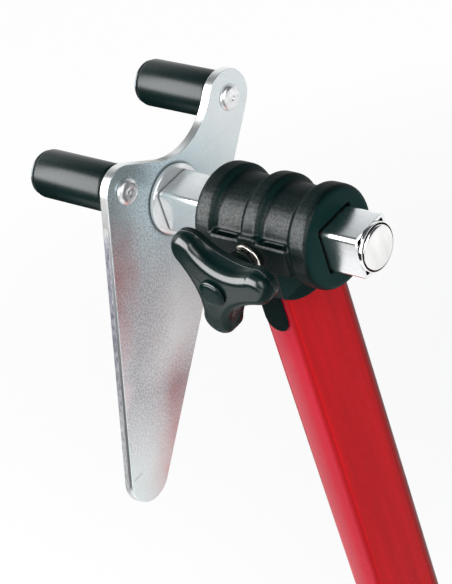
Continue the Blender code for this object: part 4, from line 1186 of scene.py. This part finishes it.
def studio_flag():
    """Black card in front of the stand, seen only in gloss: it keeps the black mouldings dark beside the key
    light."""
    floor = Vector((0.0, 0.0, CAD_BOX[0].z))
    bm = bmesh.new()
    for sheet in FLAG_SHEETS:
        bm.faces.new([
            bm.verts.new(floor + FLAG_TOWARDS * reach + FLAG_ACROSS * across + Vector((0.0, 0.0, height)))
            for reach, across, height in sheet
        ])
    material, tree, surface = shader("flag_cloth", {"Roughness": 0.9, "Specular IOR Level": 0.0})
    paint_with(tree, surface, toned(tree, mottle(tree, 300.0), FLAG_CLOTH, 0.5, 1.0))
    mesh = new_mesh("studio_flag", bm)
    mesh.materials.append(material)
    flag = link(bpy.data.objects.new("studio_flag", mesh))
    flag.visible_camera = False
    flag.visible_diffuse = False
    flag.visible_shadow = False


# Operators

class StudioOperator(bpy.types.Operator):
    """Sets up the camera, the pale floor and the soft light"""

    bl_idname = "roller_stand.studio"
    bl_label = "Studio"

    def execute(self, context):
        studio = context.scene.stand_studio
        context.scene.view_settings.view_transform = "Standard"
        studio_camera()
        studio_floor(studio)
        studio_world(studio)
        studio_flag()
        softbox("key_softbox", KEY_FROM, KEY_PANEL, studio.key)
        softbox("fill_panel", FILL_FROM, FILL_PANEL, studio.fill)
        return {"FINISHED"}


class PostOperator(bpy.types.Operator):
    """Finishes the red post, base plate, weld bead and rubber sheet"""

    bl_idname = "roller_stand.post"
    bl_label = "Post and base"

    def execute(self, context):
        shapes = context.scene.stand_shapes
        post_tube(shapes)
        dressed("base_plate", red_coat)
        dressed("base_pad", rubber, shapes.fastener_edge)
        weld_bead(shapes)
        return {"FINISHED"}


class CollarOperator(bpy.types.Operator):
    """Shapes the ribbed collar as a moulding and finishes the fasteners inside it"""

    bl_idname = "roller_stand.collar"
    bl_label = "Collar"

    def execute(self, context):
        shapes = context.scene.stand_shapes
        collar_moulding(shapes)
        for node in ("post_plug", "collar_screw", "clamp_nut"):
            dressed(node, raw_steel, shapes.fastener_edge)
        return {"FINISHED"}


class KnobOperator(bpy.types.Operator):
    """Shapes the clamp knob, its cap, the split ring, the stud and the pressure pad"""

    bl_idname = "roller_stand.knob"
    bl_label = "Clamp knob"

    def execute(self, context):
        shapes = context.scene.stand_shapes
        knob_star()
        knob_cap()
        spring_ring()
        dressed("clamp_stud", raw_steel, shapes.fastener_edge)
        dressed("pressure_pad", bearing_bronze, shapes.fastener_edge)
        return {"FINISHED"}


class BarOperator(bpy.types.Operator):
    """Finishes the sliding bar, its end cap and the flange with its screw"""

    bl_idname = "roller_stand.bar"
    bl_label = "Sliding bar"

    def execute(self, context):
        shapes = context.scene.stand_shapes
        dressed("square_bar", zinc_plate, shapes.fastener_edge)
        end_cap(shapes)
        dressed("bar_flange", flange_polish, shapes.fastener_edge)
        for node in ("flange_washer", "flange_screw"):
            dressed(node, zinc_plate, shapes.fastener_edge)
        return {"FINISHED"}


class PlateOperator(bpy.types.Operator):
    """Shapes the head plate with its sheared edges and the two riveted axles"""

    bl_idname = "roller_stand.plate"
    bl_label = "Head plate"

    def execute(self, context):
        shapes = context.scene.stand_shapes
        head_plate(shapes)
        rivet_axle("left", LEFT_ROLLER, *LEFT_PUNCH, shapes)
        rivet_axle("right", RIGHT_ROLLER, *RIGHT_PUNCH, shapes)
        return {"FINISHED"}


class RollerOperator(bpy.types.Operator):
    """Finishes the rollers with their bushes and washers"""

    bl_idname = "roller_stand.rollers"
    bl_label = "Rollers"

    def execute(self, context):
        shapes = context.scene.stand_shapes
        for side in ("left", "right"):
            dressed(side + "_roller", roller_plastic)
            dressed(side + "_end_washer", zinc_plate, shapes.fastener_edge)
            dressed(side + "_thrust_washer", washer_nylon, shapes.fastener_edge)
            for bush in ("_inner_bush", "_outer_bush"):
                dressed(side + bush, bearing_bronze, shapes.fastener_edge)
        return {"FINISHED"}


OPERATORS = (
    StudioOperator, PostOperator, CollarOperator, KnobOperator, BarOperator, PlateOperator, RollerOperator)


class StandPanel(bpy.types.Panel):
    """Steps and settings of the roller stand"""

    bl_idname = "VIEW3D_PT_roller_stand"
    bl_label = "Roller stand"
    bl_space_type = "VIEW_3D"
    bl_region_type = "UI"
    bl_category = "Roller stand"

    def draw(self, context):
        for operator in OPERATORS:
            self.layout.operator(operator.bl_idname)
        for settings in (context.scene.stand_colours, context.scene.stand_shapes, context.scene.stand_studio):
            box = self.layout.box()
            for key in settings.bl_rna.properties.keys():
                if key not in ("rna_type", "name"):
                    box.prop(settings, key)


SETTINGS = {"stand_colours": StandColours, "stand_shapes": StandShapes, "stand_studio": StandStudio}


def register():
    for kind in (*SETTINGS.values(), *OPERATORS, StandPanel):
        bpy.utils.register_class(kind)
    for key, kind in SETTINGS.items():
        setattr(bpy.types.Scene, key, bpy.props.PointerProperty(type=kind))


def unregister():
    for key in SETTINGS:
        delattr(bpy.types.Scene, key)
    for kind in reversed((*SETTINGS.values(), *OPERATORS, StandPanel)):
        bpy.utils.unregister_class(kind)


def main():
    register()
    bpy.ops.roller_stand.studio()
    bpy.ops.roller_stand.post()
    bpy.ops.roller_stand.collar()
    bpy.ops.roller_stand.knob()
    bpy.ops.roller_stand.bar()
    bpy.ops.roller_stand.plate()
    bpy.ops.roller_stand.rollers()


if __name__ == "__main__":
    main()
